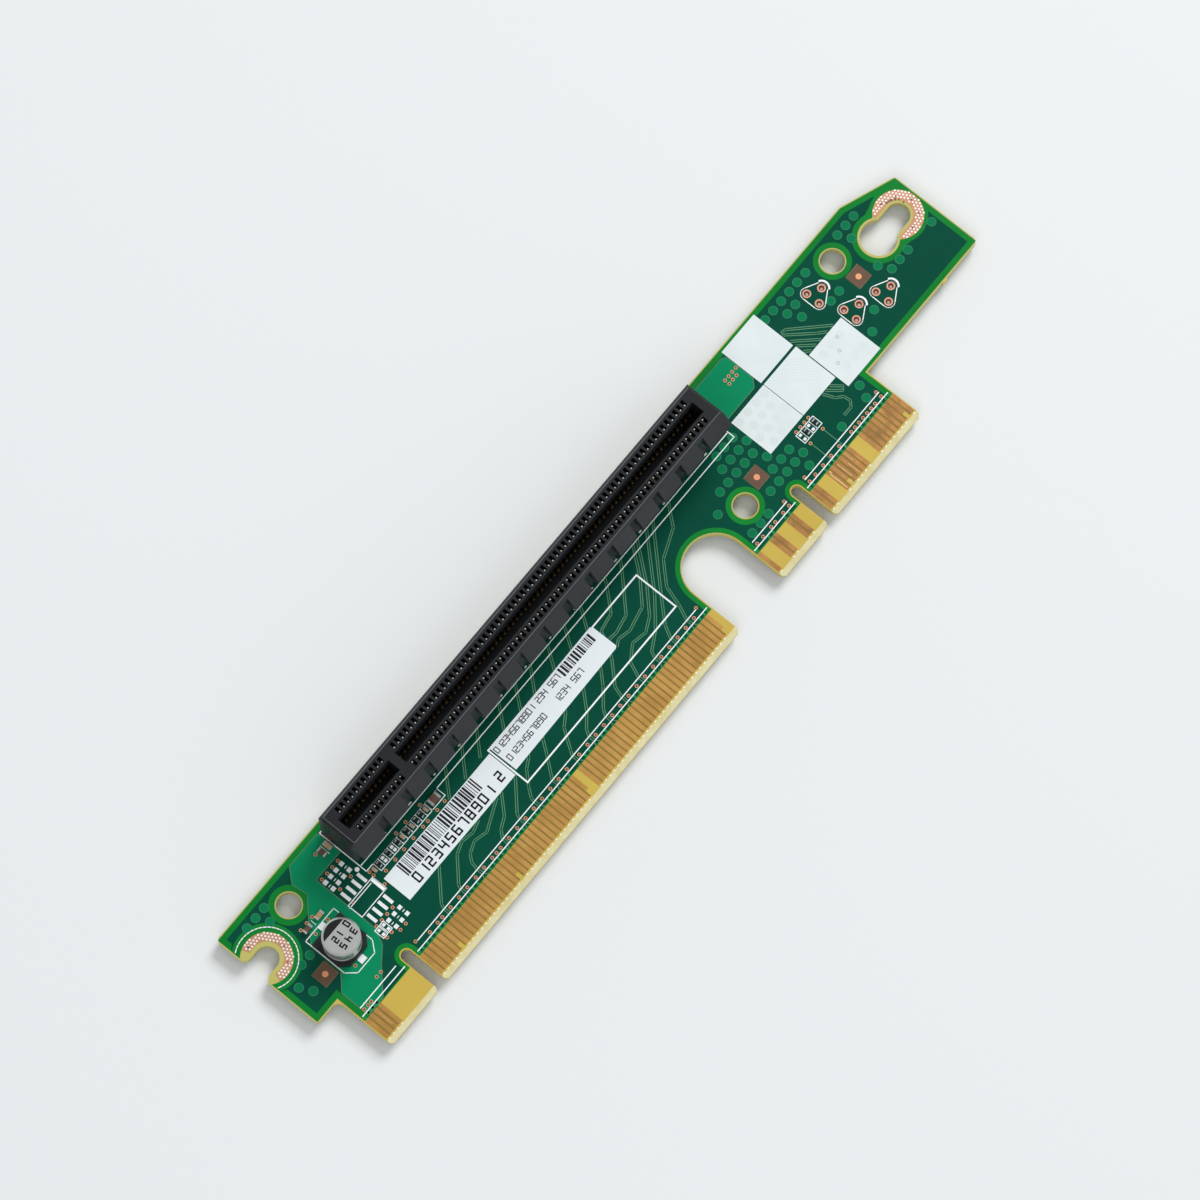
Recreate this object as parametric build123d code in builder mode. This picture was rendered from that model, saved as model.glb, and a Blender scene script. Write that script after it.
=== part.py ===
from build123d import *
from math import cos, radians, sin
import os

# Riser card: a circuit board with two edge connectors and an upright card slot.
# Millimetres. X runs along the card, Y from the edge contacts to the slot, Z up.
# The origin lies on the floor, under the middle of the card's outline.

# Edge contacts, shared by both edge connectors and the card slot
pin_pitch = 1.0
pin_edge = 0.55  # from a tab's side to its first pin's centre
key_pins = 11  # pins before the key notch
wide_pins = 71  # pins after it on the long connector and in the slot
narrow_pins = 21  # pins after it on the short connector
key_width = 1.9
key_depth = 8.1  # notch, from the tab's lower edge to its round top
contact_low = 1.25  # contact's lower end above the tab's lower edge
short_contact_low = 2.3  # the contacts that mate last start higher
contact_high = 5.47
contact_width = 0.7
contact_thick = 0.05

# Board
laminate_thick = 1.5
mask_thick = 0.035
left_wing = 4.7  # board left of the long connector
right_wing = 27.85  # board right of the short connector
cutout_width = 10.9  # gap between the two connectors
cutout_depth = 14.55
tab_depth = 10.85  # from the tabs' lower edge up to the board's shoulders
body_depth = 20.28  # from the shoulders up to the far edge
slope_run = 9.6  # sloped corner beside the keyhole
slope_drop = 3.58
board_corner = 0.8
tab_corner = 0.5
shoulder_fillet = 1.2
step_fillet = 0.3
bevel_length = 0.95
bevel_drop = 0.45
nub_place = 8.4  # rest of a break-off bridge, from the right end
nub_width = 1.0
nub_height = 0.25

# Holes, each placed from the edges that it belongs to
hole_radius = 2.0
left_hole = (11.28, 5.04)  # from the left end, from the far edge
right_hole = (17.15, 4.73)  # from the right end, from the far edge
middle_hole = (5.14, 11.91)  # from the short connector's left side, from the tabs' edge
keyhole_radius = 3.0
keyhole_slot = 1.95  # half its width
keyhole_travel = 4.93
keyhole_place = (9.5, 7.93)  # from the right end, from the far edge
notch_radius = 1.95
notch_place = (2.8, 7.78)  # from the left end, from the far edge
notch_mouth = 1.3  # rounding where the notch meets the left edge

# Openings in the solder mask
mask_margin = 0.2  # bare laminate along the board's edges
mask_line = 5.53  # the mask ends just above the edge contacts
hole_margin = 0.2
keyhole_margin = 0.4
fiducial_size = 3.0
left_fiducial = (6.62, 14.9)  # from the left end, from the tabs' edge
middle_fiducial = (9.85, 13.45)  # from the short connector's left side
right_fiducial = (16.5, 21.65)  # from the right end

# Bare copper round the keyhole's slot and round the notch, on the fitted face
pad_outer = 4.12
keyhole_pad_inner = 2.4
keyhole_pad_reach = 2.73  # towards the keyhole's wide end
notch_pad_inner = 2.7
notch_pad_turn = 110.0  # half the angle that the notch's pad covers

# Card slot
slot_start = 25.95  # first pin, from the left end of the card
slot_line = 5.28  # its middle line, from the far edge
housing_end = 2.85  # beyond the end pins
housing_width = 7.3
housing_height = 11.25
housing_edge = 0.5  # chamfers round the top
mouth_width = 2.4
mouth_depth = 0.6
groove_width = 1.8
groove_floor = 2.75  # above the board
groove_first = 1.2  # groove beyond the first pin
groove_last = 1.0  # groove beyond the last pin
key_rib = 1.5
cavity_width = 0.58
cavity_near = 1.55  # from the slot's middle line
cavity_far = 2.65
rib_depth = 1.2  # the bars between the cavities, and the lip along the groove
flange_reach = 1.65  # sloping flange on the side of the edge contacts
flange_high = 8.1  # top of its lip
flange_low = 7.35
flange_notches = 15
flange_pitch = 5.5
flange_gap = 1.5
peg_radius = 1.1
peg_clearance = 0.075
peg_length = 2.1
peg_sides = 12
peg_place = 1.65  # far peg, beyond the last pin

# Slot contacts: a leaf that leans from the cavity to the groove and turns back
leaf_thick = 0.24
leaf_width = 0.36
bow_drop = 4.2  # below the top of the housing
bow_reach = 0.6  # from the slot's middle line
tip_drop = 0.7
tip_reach = 1.75

# Solder joints of the slot's tails, under the board
joint_height = 1.1
joint_width = 1.1
joint_near = 1.25  # inner and outer rows, from the slot's middle line
joint_far = 3.25

# Capacitor
can_place = (11.97, 15.18)  # from the left end, from the far edge
can_radius = 3.05
can_top = 5.5
can_rim = 0.3
can_groove = 0.25
can_groove_place = 0.9  # above the base
base_width = 6.6
base_height = 1.0
base_corner = 1.3
lead_width = 0.9
lead_thick = 0.2
lead_start = 1.2
lead_end = 4.4
stripe_chord = 1.45
stripe_radius = 2.7
ink_thick = 0.02

# Chips: length, width, height, and the part of the length that is one metal end
mid_chip = (1.6, 0.8, 0.8)
small_chip = (1.0, 0.5, 0.45)
large_chip = (2.0, 1.25, 1.1)
end_share = 0.2
side_chips_drop = 9.73  # pair beside the capacitor, from the far edge
side_chip_brown = 10.21  # from the left end
side_chip_tan = 12.97
top_chips_drop = 3.73  # upright pair near the far edge
top_chip_brown = 20.73
top_chip_tan = 22.09
row_start = 23.81  # row of small chips, first place from the left end
row_drop = 11.69  # from the far edge
row_pitch = 1.113
row_tan = (0, 6, 8, 11)  # places in the row, the others stay empty
row_black = (1, 3, 5, 7, 9, 10)
large_chip_place = 38.05
ladder_start = 20.5  # two small chips by the short connector, from its left side
ladder_step = 2.02
ladder_rise = 11.97  # from the tabs' edge

# Empty footprint with eight lands
land_place = (19.75, 13.56)  # its middle, from the left end, from the far edge
land_size = (0.55, 1.87)
land_pitch = 1.28
land_rows = 5.25
land_thick = 0.04

# Print and labels
block_size = (8.0, 7.95)
block_places = [(18.15, 18.08), (26.25, 18.08), (26.11, 26.5), (34.43, 15.6)]
long_label = (25.37, 5.24)
long_label_start = 23.665  # its left side, from the left end
long_label_drop = 16.26  # its middle, from the far edge
round_label = (24.97, 5.25)
label_gap = 0.68  # between the two labels
round_label_drop = 15.65
round_label_turn = 0.7
round_label_corner = 0.5
label_thick = 0.1

# Levels and places that follow from the sizes above
mask_low = joint_height
laminate_low = mask_low + mask_thick
laminate_high = laminate_low + laminate_thick
top_face = laminate_high + mask_thick


def tab_length(pins):
    return (pins - 1) * pin_pitch + 2 * pin_edge


long_connector = tab_length(key_pins) + key_width + tab_length(wide_pins)
short_connector = tab_length(key_pins) + key_width + tab_length(narrow_pins)
board_length = left_wing + long_connector + cutout_width + short_connector + right_wing
board_width = tab_depth + body_depth
left = -board_length / 2
right = board_length / 2
low = -board_width / 2
high = board_width / 2
shoulder = low + tab_depth
long_left = left + left_wing
long_right = long_left + long_connector
short_left = long_right + cutout_width
short_right = short_left + short_connector
cutout_middle = long_right + cutout_width / 2
key_step = tab_length(key_pins) + key_width  # from a connector's left side past its key


def pin_place(connector_left, pin):
    if pin <= key_pins:
        return connector_left + pin_edge + (pin - 1) * pin_pitch
    return connector_left + key_step + pin_edge + (pin - key_pins - 1) * pin_pitch


hole_places = [
    (left + left_hole[0], high - left_hole[1]),
    (short_left + middle_hole[0], low + middle_hole[1]),
    (right - right_hole[0], high - right_hole[1]),
]
keyhole = (right - keyhole_place[0], high - keyhole_place[1])
keyhole_end = (keyhole[0] + keyhole_travel, keyhole[1])
notch = (left + notch_place[0], high - notch_place[1])
fiducials = [
    (left + left_fiducial[0], low + left_fiducial[1]),
    (short_left + middle_fiducial[0], low + middle_fiducial[1]),
    (right - right_fiducial[0], low + right_fiducial[1]),
]

slot_y = high - slot_line
first_pin = left + slot_start
slot_pins = [pin_place(first_pin - pin_edge, n + 1) for n in range(key_pins + wide_pins)]
last_pin = slot_pins[-1]
housing_left = first_pin - housing_end
housing_length = last_pin + housing_end - housing_left
housing_middle = housing_left + housing_length / 2
housing_top = top_face + housing_height
key_middle = (slot_pins[key_pins - 1] + slot_pins[key_pins]) / 2
peg_places = [(key_middle, slot_y), (last_pin + peg_place, slot_y)]
peg_hole = peg_radius + peg_clearance


def keep(part, name):
    part.label = name
    export_step(part, "parts/" + name + ".step")


os.makedirs("parts", exist_ok=True)


# Outline of the card; margin draws it in, as the solder mask needs
def card_face(margin):
    with BuildSketch() as face:
        with BuildLine():
            Polyline(
                (left, shoulder),
                (right, shoulder),
                (right, high - slope_drop),
                (right - slope_run, high),
                (left, high),
                close=True,
            )
        make_face()
        if margin:
            offset(amount=-margin, kind=Kind.INTERSECTION)
        tabs_width = short_right - long_left - 2 * margin
        with Locations(((long_left + short_right) / 2, low + margin)):
            Rectangle(tabs_width, tab_depth, align=(Align.CENTER, Align.MIN))
        cut = cutout_width / 2 + margin
        with Locations((cutout_middle, low + cutout_depth - cutout_width / 2)):
            Circle(cut, mode=Mode.SUBTRACT)
            Rectangle(2 * cut, cutout_depth, align=(Align.CENTER, Align.MAX), mode=Mode.SUBTRACT)
        key = key_width / 2 + margin
        for side in (long_left, short_left):
            with Locations((side + key_step - key_width / 2, low + key_depth - key_width / 2)):
                Circle(key, mode=Mode.SUBTRACT)
                Rectangle(2 * key, key_depth, align=(Align.CENTER, Align.MAX), mode=Mode.SUBTRACT)
    return face.sketch


def nearest(shape, places):
    return [shape.vertices().sort_by_distance((x, y, z))[0] for x, y, z in places]


# Circuit board: laminate with rounded corners, holes and bevelled contact edges
with BuildSketch() as board_outline:
    add(card_face(0))
    with Locations(notch):
        Circle(notch_radius, mode=Mode.SUBTRACT)
        Rectangle(
            2 * notch_place[0],
            2 * notch_radius,
            align=(Align.MAX, Align.CENTER),
            mode=Mode.SUBTRACT,
        )
    with Locations((right - nub_place, shoulder)):
        Rectangle(nub_width, nub_height, align=(Align.CENTER, Align.MAX))
    mouth = [(left, notch[1] - notch_radius, 0), (left, notch[1] + notch_radius, 0)]
    fillet(nearest(board_outline, mouth), notch_mouth)
    ends = [(left, high, 0), (left, shoulder, 0), (right, shoulder, 0), (right, high - slope_drop, 0)]
    fillet(nearest(board_outline, ends), board_corner)
    fillet(nearest(board_outline, [(long_left, shoulder, 0)]), shoulder_fillet)
    fillet(nearest(board_outline, [(short_right, shoulder, 0)]), step_fillet)
    tab_ends = []
    for side, far_side in ((long_left, long_right), (short_left, short_right)):
        for x in (side, side + tab_length(key_pins), side + key_step, far_side):
            tab_ends.append((x, low, 0))
    chamfer(nearest(board_outline, tab_ends), tab_corner)
    with Locations(*hole_places):
        Circle(hole_radius, mode=Mode.SUBTRACT)
    with Locations(*peg_places):
        Circle(peg_hole, mode=Mode.SUBTRACT)
    with Locations(keyhole):
        Circle(keyhole_radius, mode=Mode.SUBTRACT)
    with Locations((keyhole[0] + keyhole_travel / 2, keyhole[1])):
        SlotCenterToCenter(keyhole_travel, 2 * keyhole_slot, mode=Mode.SUBTRACT)

with BuildPart() as circuit_board:
    with BuildSketch(Plane.XY.offset(laminate_low)):
        add(board_outline.sketch)
    extrude(amount=laminate_thick)
    with BuildSketch(Plane.YZ.offset(left)):
        for face_level, into in ((laminate_low, 1), (laminate_high, -1)):
            with BuildLine():
                Polyline(
                    (low, face_level),
                    (low + bevel_length, face_level),
                    (low, face_level + into * bevel_drop),
                    close=True,
                )
            make_face()
    extrude(amount=board_length, mode=Mode.SUBTRACT)
keep(circuit_board.part, "circuit_board")

# Solder mask: a thin coat on each face, open at the contacts, holes and bare copper
with BuildSketch() as mask_outline:
    add(card_face(mask_margin))
    with Locations((0, low)):
        Rectangle(board_length, mask_line, align=(Align.CENTER, Align.MIN), mode=Mode.SUBTRACT)
    with Locations(*hole_places):
        Circle(hole_radius + hole_margin, mode=Mode.SUBTRACT)
    with Locations(*peg_places):
        RegularPolygon(peg_hole, peg_sides, major_radius=False, mode=Mode.SUBTRACT)
    with Locations(keyhole):
        Circle(keyhole_radius + keyhole_margin, mode=Mode.SUBTRACT)

with BuildPart() as solder_mask_top:
    with BuildSketch(Plane.XY.offset(laminate_high)):
        add(mask_outline.sketch)
        with Locations(keyhole_end, notch):
            Circle(pad_outer, mode=Mode.SUBTRACT)
        with Locations(*fiducials):
            Rectangle(fiducial_size, fiducial_size, mode=Mode.SUBTRACT)
    extrude(amount=mask_thick)
keep(solder_mask_top.part, "solder_mask_top")

with BuildPart() as solder_mask_bottom:
    with BuildSketch(Plane.XY.offset(mask_low)):
        add(mask_outline.sketch)
        with Locations((keyhole[0] + keyhole_travel / 2, keyhole[1])):
            SlotCenterToCenter(keyhole_travel, 2 * keyhole_pad_inner, mode=Mode.SUBTRACT)
        with Locations(notch):
            Rectangle(2 * notch_pad_inner, 2 * notch_pad_inner, mode=Mode.SUBTRACT)
    extrude(amount=mask_thick)
keep(solder_mask_bottom.part, "solder_mask_bottom")

# Bare copper pads
with BuildSketch() as keyhole_pad:
    with Locations(keyhole_end):
        Circle(pad_outer)
    with Locations((keyhole[0] + keyhole_travel / 2, keyhole[1])):
        SlotCenterToCenter(keyhole_travel, 2 * keyhole_pad_inner, mode=Mode.SUBTRACT)
    with Locations((keyhole_end[0] - keyhole_pad_reach, keyhole_end[1])):
        Rectangle(pad_outer, 2 * pad_outer, align=(Align.MAX, Align.CENTER), mode=Mode.SUBTRACT)

end_x = pad_outer * cos(radians(notch_pad_turn))
end_y = pad_outer * sin(radians(notch_pad_turn))
with BuildSketch() as notch_pad:
    with Locations(notch):
        Circle(pad_outer)
        Circle(notch_pad_inner, mode=Mode.SUBTRACT)
        Polygon(
            (0, 0),
            (2 * end_x, 2 * end_y),
            (-2 * pad_outer, 2 * end_y),
            (-2 * pad_outer, -2 * end_y),
            (2 * end_x, -2 * end_y),
            align=None,
            mode=Mode.SUBTRACT,
        )

with BuildPart() as keyhole_copper:
    with BuildSketch(Plane.XY.offset(laminate_high)):
        add(keyhole_pad.sketch)
    extrude(amount=mask_thick)
keep(keyhole_copper.part, "keyhole_pads")

with BuildPart() as notch_copper:
    with BuildSketch(Plane.XY.offset(laminate_high)):
        add(notch_pad.sketch)
    extrude(amount=mask_thick)
keep(notch_copper.part, "notch_pads")


# Edge contacts: flat strips on the bare laminate, the last ones to mate are shorter
def contact_strips(connector_left, pins, short_pins, level):
    with BuildPart() as strips:
        with BuildSketch(Plane.XY.offset(level)):
            for pin in pins:
                start = short_contact_low if pin in short_pins else contact_low
                with Locations((pin_place(connector_left, pin), low + start)):
                    Rectangle(contact_width, contact_high - start, align=(Align.CENTER, Align.MIN))
        extrude(amount=contact_thick)
    return strips.part


long_pins = [1, 2, 3, 4] + [n for n in range(12, 82) if n != 49]
long_short_pins = (17, 31, 48, 81)
short_pins = [1, 4, 5, 8, 9, 12, 13] + list(range(16, 22)) + list(range(24, 33))
short_short_pins = (17, 31)
under = laminate_low - contact_thick
keep(contact_strips(long_left, long_pins, long_short_pins, laminate_high), "long_contacts_top")
keep(contact_strips(long_left, long_pins, long_short_pins, under), "long_contacts_bottom")
keep(contact_strips(short_left, short_pins, short_short_pins, laminate_high), "short_contacts_top")
keep(contact_strips(short_left, short_pins, short_short_pins, under), "short_contacts_bottom")

# Slot housing: one long body with a sloping flange, a keyed groove and contact cavities
half = housing_width / 2
groove_low = top_face + groove_floor
sections = [
    (first_pin - groove_first, key_middle - key_rib / 2),
    (key_middle + key_rib / 2, last_pin + groove_last),
]
with BuildPart() as slot_housing:
    with BuildSketch(Plane.YZ.offset(housing_left)):
        with BuildLine():
            Polyline(
                (slot_y - half, top_face),
                (slot_y + half, top_face),
                (slot_y + half, housing_top - housing_edge),
                (slot_y + half - housing_edge, housing_top),
                (slot_y - half + housing_edge, housing_top),
                (slot_y - half, housing_top - housing_edge),
                (slot_y - half - flange_reach, top_face + flange_high),
                (slot_y - half - flange_reach, top_face + flange_low),
                (slot_y - half, top_face + flange_low),
                close=True,
            )
        make_face()
    extrude(amount=housing_length)
    top_ends = slot_housing.faces().sort_by(Axis.Z)[-1].edges().filter_by(Axis.Y)
    chamfer(top_ends, housing_edge)
    with BuildSketch(Plane.XY.offset(top_face)):
        with Locations((housing_middle, slot_y - half)):
            with GridLocations(flange_pitch, 1, flange_notches, 1):
                Rectangle(flange_gap, 2 * flange_reach, align=(Align.CENTER, Align.MAX))
    extrude(amount=housing_height, mode=Mode.SUBTRACT)
    for start, end in sections:
        with BuildSketch(Plane.YZ.offset(start)):
            with BuildLine():
                Polyline(
                    (slot_y - mouth_width / 2, housing_top),
                    (slot_y - groove_width / 2, housing_top - mouth_depth),
                    (slot_y - groove_width / 2, housing_top - rib_depth),
                    (slot_y - cavity_far, housing_top - rib_depth),
                    (slot_y - cavity_far, groove_low),
                    (slot_y + cavity_far, groove_low),
                    (slot_y + cavity_far, housing_top - rib_depth),
                    (slot_y + groove_width / 2, housing_top - rib_depth),
                    (slot_y + groove_width / 2, housing_top - mouth_depth),
                    (slot_y + mouth_width / 2, housing_top),
                    close=True,
                )
            make_face()
        extrude(amount=end - start, mode=Mode.SUBTRACT)
    with BuildSketch(Plane.XY.offset(housing_top)):
        for row in (-1, 1):
            with Locations(*[(x, slot_y + row * (cavity_near + cavity_far) / 2) for x in slot_pins]):
                Rectangle(cavity_width, cavity_far - cavity_near)
    extrude(amount=-rib_depth, mode=Mode.SUBTRACT)
    with BuildSketch(Plane.XY.offset(top_face)):
        with Locations(*peg_places):
            RegularPolygon(peg_radius, peg_sides)
    extrude(amount=-peg_length)
keep(slot_housing.part, "slot_housing")


# Slot contacts, one row on each side of the groove
def contact_row(side):
    with BuildPart() as leaf:
        with BuildSketch(Plane.YZ.offset(-leaf_width / 2)):
            with BuildLine():
                Polyline(
                    (side * cavity_far, groove_low),
                    (side * bow_reach, housing_top - bow_drop),
                    (side * tip_reach, housing_top - tip_drop),
                    (side * (bow_reach + leaf_thick), housing_top - bow_drop),
                    close=True,
                )
            make_face()
        extrude(amount=leaf_width)
    with BuildPart() as row:
        with Locations(*[(x, slot_y, 0) for x in slot_pins]):
            add(leaf.part)
    return row.part


keep(contact_row(1), "slot_contacts_far")
keep(contact_row(-1), "slot_contacts_near")

# Solder joints of the slot's tails, in staggered rows under the board
joint_places = []
for number, x in enumerate(slot_pins):
    row = joint_far if number % 2 else joint_near
    joint_places += [(x, slot_y + row), (x, slot_y - row)]
with BuildSketch(Plane.XY.offset(joint_height)) as joint_foot:
    Rectangle(joint_width, joint_width)
with BuildPart() as joint:
    loft([Vertex(0, 0, 0), joint_foot.sketch.face()], ruled=True)
with BuildPart() as solder_joints:
    with Locations(*joint_places):
        add(joint.part)
keep(solder_joints.part, "solder_joints")

# Capacitor: a can on a moulded base, with two flat leads
can_spot = (left + can_place[0], high - can_place[1])
base_top = top_face + base_height
groove_z = base_top + can_groove_place
with BuildPart() as capacitor_base:
    with BuildSketch(Plane.XY.offset(top_face)):
        with Locations(can_spot):
            Rectangle(base_width, base_width)
        chamfer(vertices().sort_by(Axis.Y)[:2], base_corner)
    extrude(amount=base_height)
    with BuildSketch(Plane.XY.offset(top_face)):
        for side in (-1, 1):
            with Locations((can_spot[0], can_spot[1] + side * (lead_start + base_width) / 2)):
                Rectangle(lead_width, base_width - lead_start)
    extrude(amount=lead_thick, mode=Mode.SUBTRACT)
keep(capacitor_base.part, "capacitor_base")

with BuildPart() as capacitor_leads:
    with BuildSketch(Plane.XY.offset(top_face)):
        for side in (-1, 1):
            with Locations((can_spot[0], can_spot[1] + side * (lead_start + lead_end) / 2)):
                Rectangle(lead_width, lead_end - lead_start)
    extrude(amount=lead_thick)
keep(capacitor_leads.part, "capacitor_leads")

with BuildPart() as capacitor_can:
    with BuildSketch(Plane.XZ) as can_half:
        with BuildLine():
            Polyline(
                (0, base_top),
                (can_radius, base_top),
                (can_radius, groove_z - can_groove),
                (can_radius - can_groove, groove_z),
                (can_radius, groove_z + can_groove),
                (can_radius, top_face + can_top - can_rim),
                (can_radius - can_rim, top_face + can_top),
                (0, top_face + can_top),
                close=True,
            )
        make_face()
    revolve(axis=Axis.Z)
keep(Pos(can_spot[0], can_spot[1], 0) * capacitor_can.part, "capacitor_can")

with BuildPart() as capacitor_stripe:
    with BuildSketch(Plane.XY.offset(top_face + can_top)):
        with Locations(can_spot):
            Circle(stripe_radius)
        with Locations((can_spot[0], can_spot[1] + stripe_chord)):
            Rectangle(
                2 * can_radius,
                2 * can_radius,
                align=(Align.CENTER, Align.MAX),
                mode=Mode.SUBTRACT,
            )
    extrude(amount=ink_thick)
keep(capacitor_stripe.part, "capacitor_stripe")


# Chips: a body between two metal ends, upright ones turned a quarter
def from_corner(across, down):
    return (left + across, high - down)


def chip_bodies(size, places, turn):
    with BuildPart() as bodies:
        with BuildSketch(Plane.XY.offset(top_face)):
            with Locations(*places):
                Rectangle(size[0] * (1 - 2 * end_share), size[1], rotation=turn)
        extrude(amount=size[2])
    return bodies.part


def chip_ends(size, places, turn):
    with BuildPart() as ends:
        with BuildSketch(Plane.XY.offset(top_face)):
            with Locations(*places):
                Rectangle(size[0], size[1], rotation=turn)
                Rectangle(
                    size[0] * (1 - 2 * end_share),
                    2 * size[1],
                    rotation=turn,
                    mode=Mode.SUBTRACT,
                )
        extrude(amount=size[2])
    return ends.part


side_brown = [from_corner(side_chip_brown, side_chips_drop)]
side_tan = [from_corner(side_chip_tan, side_chips_drop)]
top_brown = [from_corner(top_chip_brown, top_chips_drop)]
top_tan = [from_corner(top_chip_tan, top_chips_drop)]
row_tan_places = [from_corner(row_start + n * row_pitch, row_drop) for n in row_tan]
black_places = [from_corner(row_start + n * row_pitch, row_drop) for n in row_black]
black_places += [
    (short_left + ladder_start, low + ladder_rise),
    (short_left + ladder_start + ladder_step, low + ladder_rise),
]
large_place = [from_corner(large_chip_place, row_drop)]

with BuildPart() as brown_chips:
    add(chip_bodies(mid_chip, side_brown, 0))
    add(chip_bodies(mid_chip, top_brown, 90))
keep(brown_chips.part, "brown_chips")

with BuildPart() as tan_chips:
    add(chip_bodies(mid_chip, side_tan, 0))
    add(chip_bodies(mid_chip, top_tan, 90))
    add(chip_bodies(small_chip, row_tan_places, 90))
keep(tan_chips.part, "tan_chips")

with BuildPart() as black_chips:
    add(chip_bodies(small_chip, black_places, 90))
keep(black_chips.part, "black_chips")

with BuildPart() as large_chip_body:
    add(chip_bodies(large_chip, large_place, 0))
keep(large_chip_body.part, "large_chip")

with BuildPart() as chip_end_caps:
    add(chip_ends(mid_chip, side_brown + side_tan, 0))
    add(chip_ends(mid_chip, top_brown + top_tan, 90))
    add(chip_ends(small_chip, row_tan_places + black_places, 90))
    add(chip_ends(large_chip, large_place, 0))
keep(chip_end_caps.part, "chip_ends")

# Empty footprint, two rows of four lands
with BuildPart() as empty_lands:
    with BuildSketch(Plane.XY.offset(top_face)):
        with Locations(from_corner(*land_place)):
            with GridLocations(land_pitch, land_rows, 4, 2):
                Rectangle(*land_size)
    extrude(amount=land_thick)
keep(empty_lands.part, "empty_lands")

# Printed blocks and the two labels
with BuildPart() as printed_blocks:
    with BuildSketch(Plane.XY.offset(top_face)):
        with Locations(*[(short_left + x, low + y) for x, y in block_places]):
            Rectangle(*block_size)
    extrude(amount=ink_thick)
keep(printed_blocks.part, "printed_blocks")

with BuildPart() as square_label:
    with BuildSketch(Plane.XY.offset(top_face)):
        with Locations(from_corner(long_label_start + long_label[0] / 2, long_label_drop)):
            Rectangle(*long_label)
    extrude(amount=label_thick)
keep(square_label.part, "long_label")

round_label_start = long_label_start + long_label[0] + label_gap
with BuildPart() as rounded_label:
    with BuildSketch(Plane.XY.offset(top_face)):
        with Locations(from_corner(round_label_start + round_label[0] / 2, round_label_drop)):
            Rectangle(*round_label, rotation=round_label_turn)
        fillet(vertices().sort_by(Axis.X)[-2:], round_label_corner)
    extrude(amount=label_thick)
keep(rounded_label.part, "round_label")
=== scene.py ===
import math
import random
import bpy
import bmesh
from mathutils import Matrix, Vector


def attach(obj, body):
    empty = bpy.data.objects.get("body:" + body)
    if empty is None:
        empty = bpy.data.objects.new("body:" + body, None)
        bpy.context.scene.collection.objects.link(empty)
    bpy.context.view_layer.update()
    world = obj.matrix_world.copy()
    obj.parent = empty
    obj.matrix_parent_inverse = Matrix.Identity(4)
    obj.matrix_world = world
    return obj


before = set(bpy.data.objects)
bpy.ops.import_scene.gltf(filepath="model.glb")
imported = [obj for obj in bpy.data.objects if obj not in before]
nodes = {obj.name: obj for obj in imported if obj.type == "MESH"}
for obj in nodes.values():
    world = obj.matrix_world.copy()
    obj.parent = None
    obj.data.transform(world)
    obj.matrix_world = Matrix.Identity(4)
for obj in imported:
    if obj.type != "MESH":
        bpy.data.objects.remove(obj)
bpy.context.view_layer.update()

mm = 0.001
random.seed(7)

# The flat work below is laid out in millimetres on the fitted face: x from the long
# connector's key, y from the shoulder line. These shifts bring it into the part's frame.
layout = {"shiftX": -62.075, "shiftY": -10.815, "faceHeight": 2.67}
faceHeights = {"bare": -0.035, "back": 1.1, "slotTop": 11.25, "canTop": 5.5}

# Heights of the thin layers' tops over the coat, and on the back over its own face
layers = {
    "plane": 0.006, "area": 0.012, "line": 0.013, "spot": 0.015, "areaEdge": 0.016, "streak": 0.019,
    "ring": 0.02, "well": 0.023, "testWell": 0.024, "block": 0.024, "print": 0.026, "testLight": 0.027,
    "land": 0.035, "dot": 0.012, "stain": 0.014, "dash": 0.05, "label": 0.106, "leadSolder": 0.21,
}
backLayers = {"plane": -0.004, "spot": -0.008, "ring": -0.01, "well": -0.014}
back = faceHeights["back"]
thin = 0.004

# Places on the fitted face that several pieces share
card = {
    "left": -18.75,
    "stepLeft": -14.05,
    "stepRight": 115.05,
    "right": 142.9,
    "farEdge": 26.38,
    "stepHeight": 6.1,
    "keys": (-2.0, 93.0),
    "keyHalf": 0.95,
    "keyDepth": 2.4,
    "cutOut": (75.5, 4.35),
    "cutHalf": 5.45,
    "notch": (-15.95, 18.6),
    "keyholeHead": (133.4, 18.45),
    "keyholeSlot": (138.33, 18.45),
    "coatHoles": [(-7.47, 21.34, 3.2), (86.09, 7.16, 3.1), (125.75, 21.65, 3.1)],
    "can": (-6.78, 11.2),
    "slotMiddle": 21.1,
}


def boardX(x):
    return (x + layout["shiftX"]) * mm


def boardY(y):
    return (y + layout["shiftY"]) * mm


def aboveBoard(z):
    return (layout["faceHeight"] + z) * mm


# Camera, light and floor
camera = {
    "lens": 175.45,
    "sensor": 36,
    "clip": (0.01, 20),
    "place": (-0.174400, -0.133459, 0.882516),
    "right": (0.634025, -0.773306, 0.003152),
    "down": (-0.749612, -0.615590, -0.243169),
    "ahead": (0.189984, 0.151813, -0.969979),
}
studio = {
    "floorHalf": 4.0,
    "floorRough": 0.9,
    "floorShine": 0.1,
    "floorColor": (0.8, 0.814, 0.814, 1),
    "worldColor": (0.93, 0.96, 1.0, 1),
    "worldStrength": 0.5,
    "keySize": 0.8,
    "keyPower": 21.0,
    "keyPlace": (1.25, 0.15, 1.3),
    "fillPower": 4.0,
    "fillPlace": (-0.8, -0.4, 1.1),
}


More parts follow.
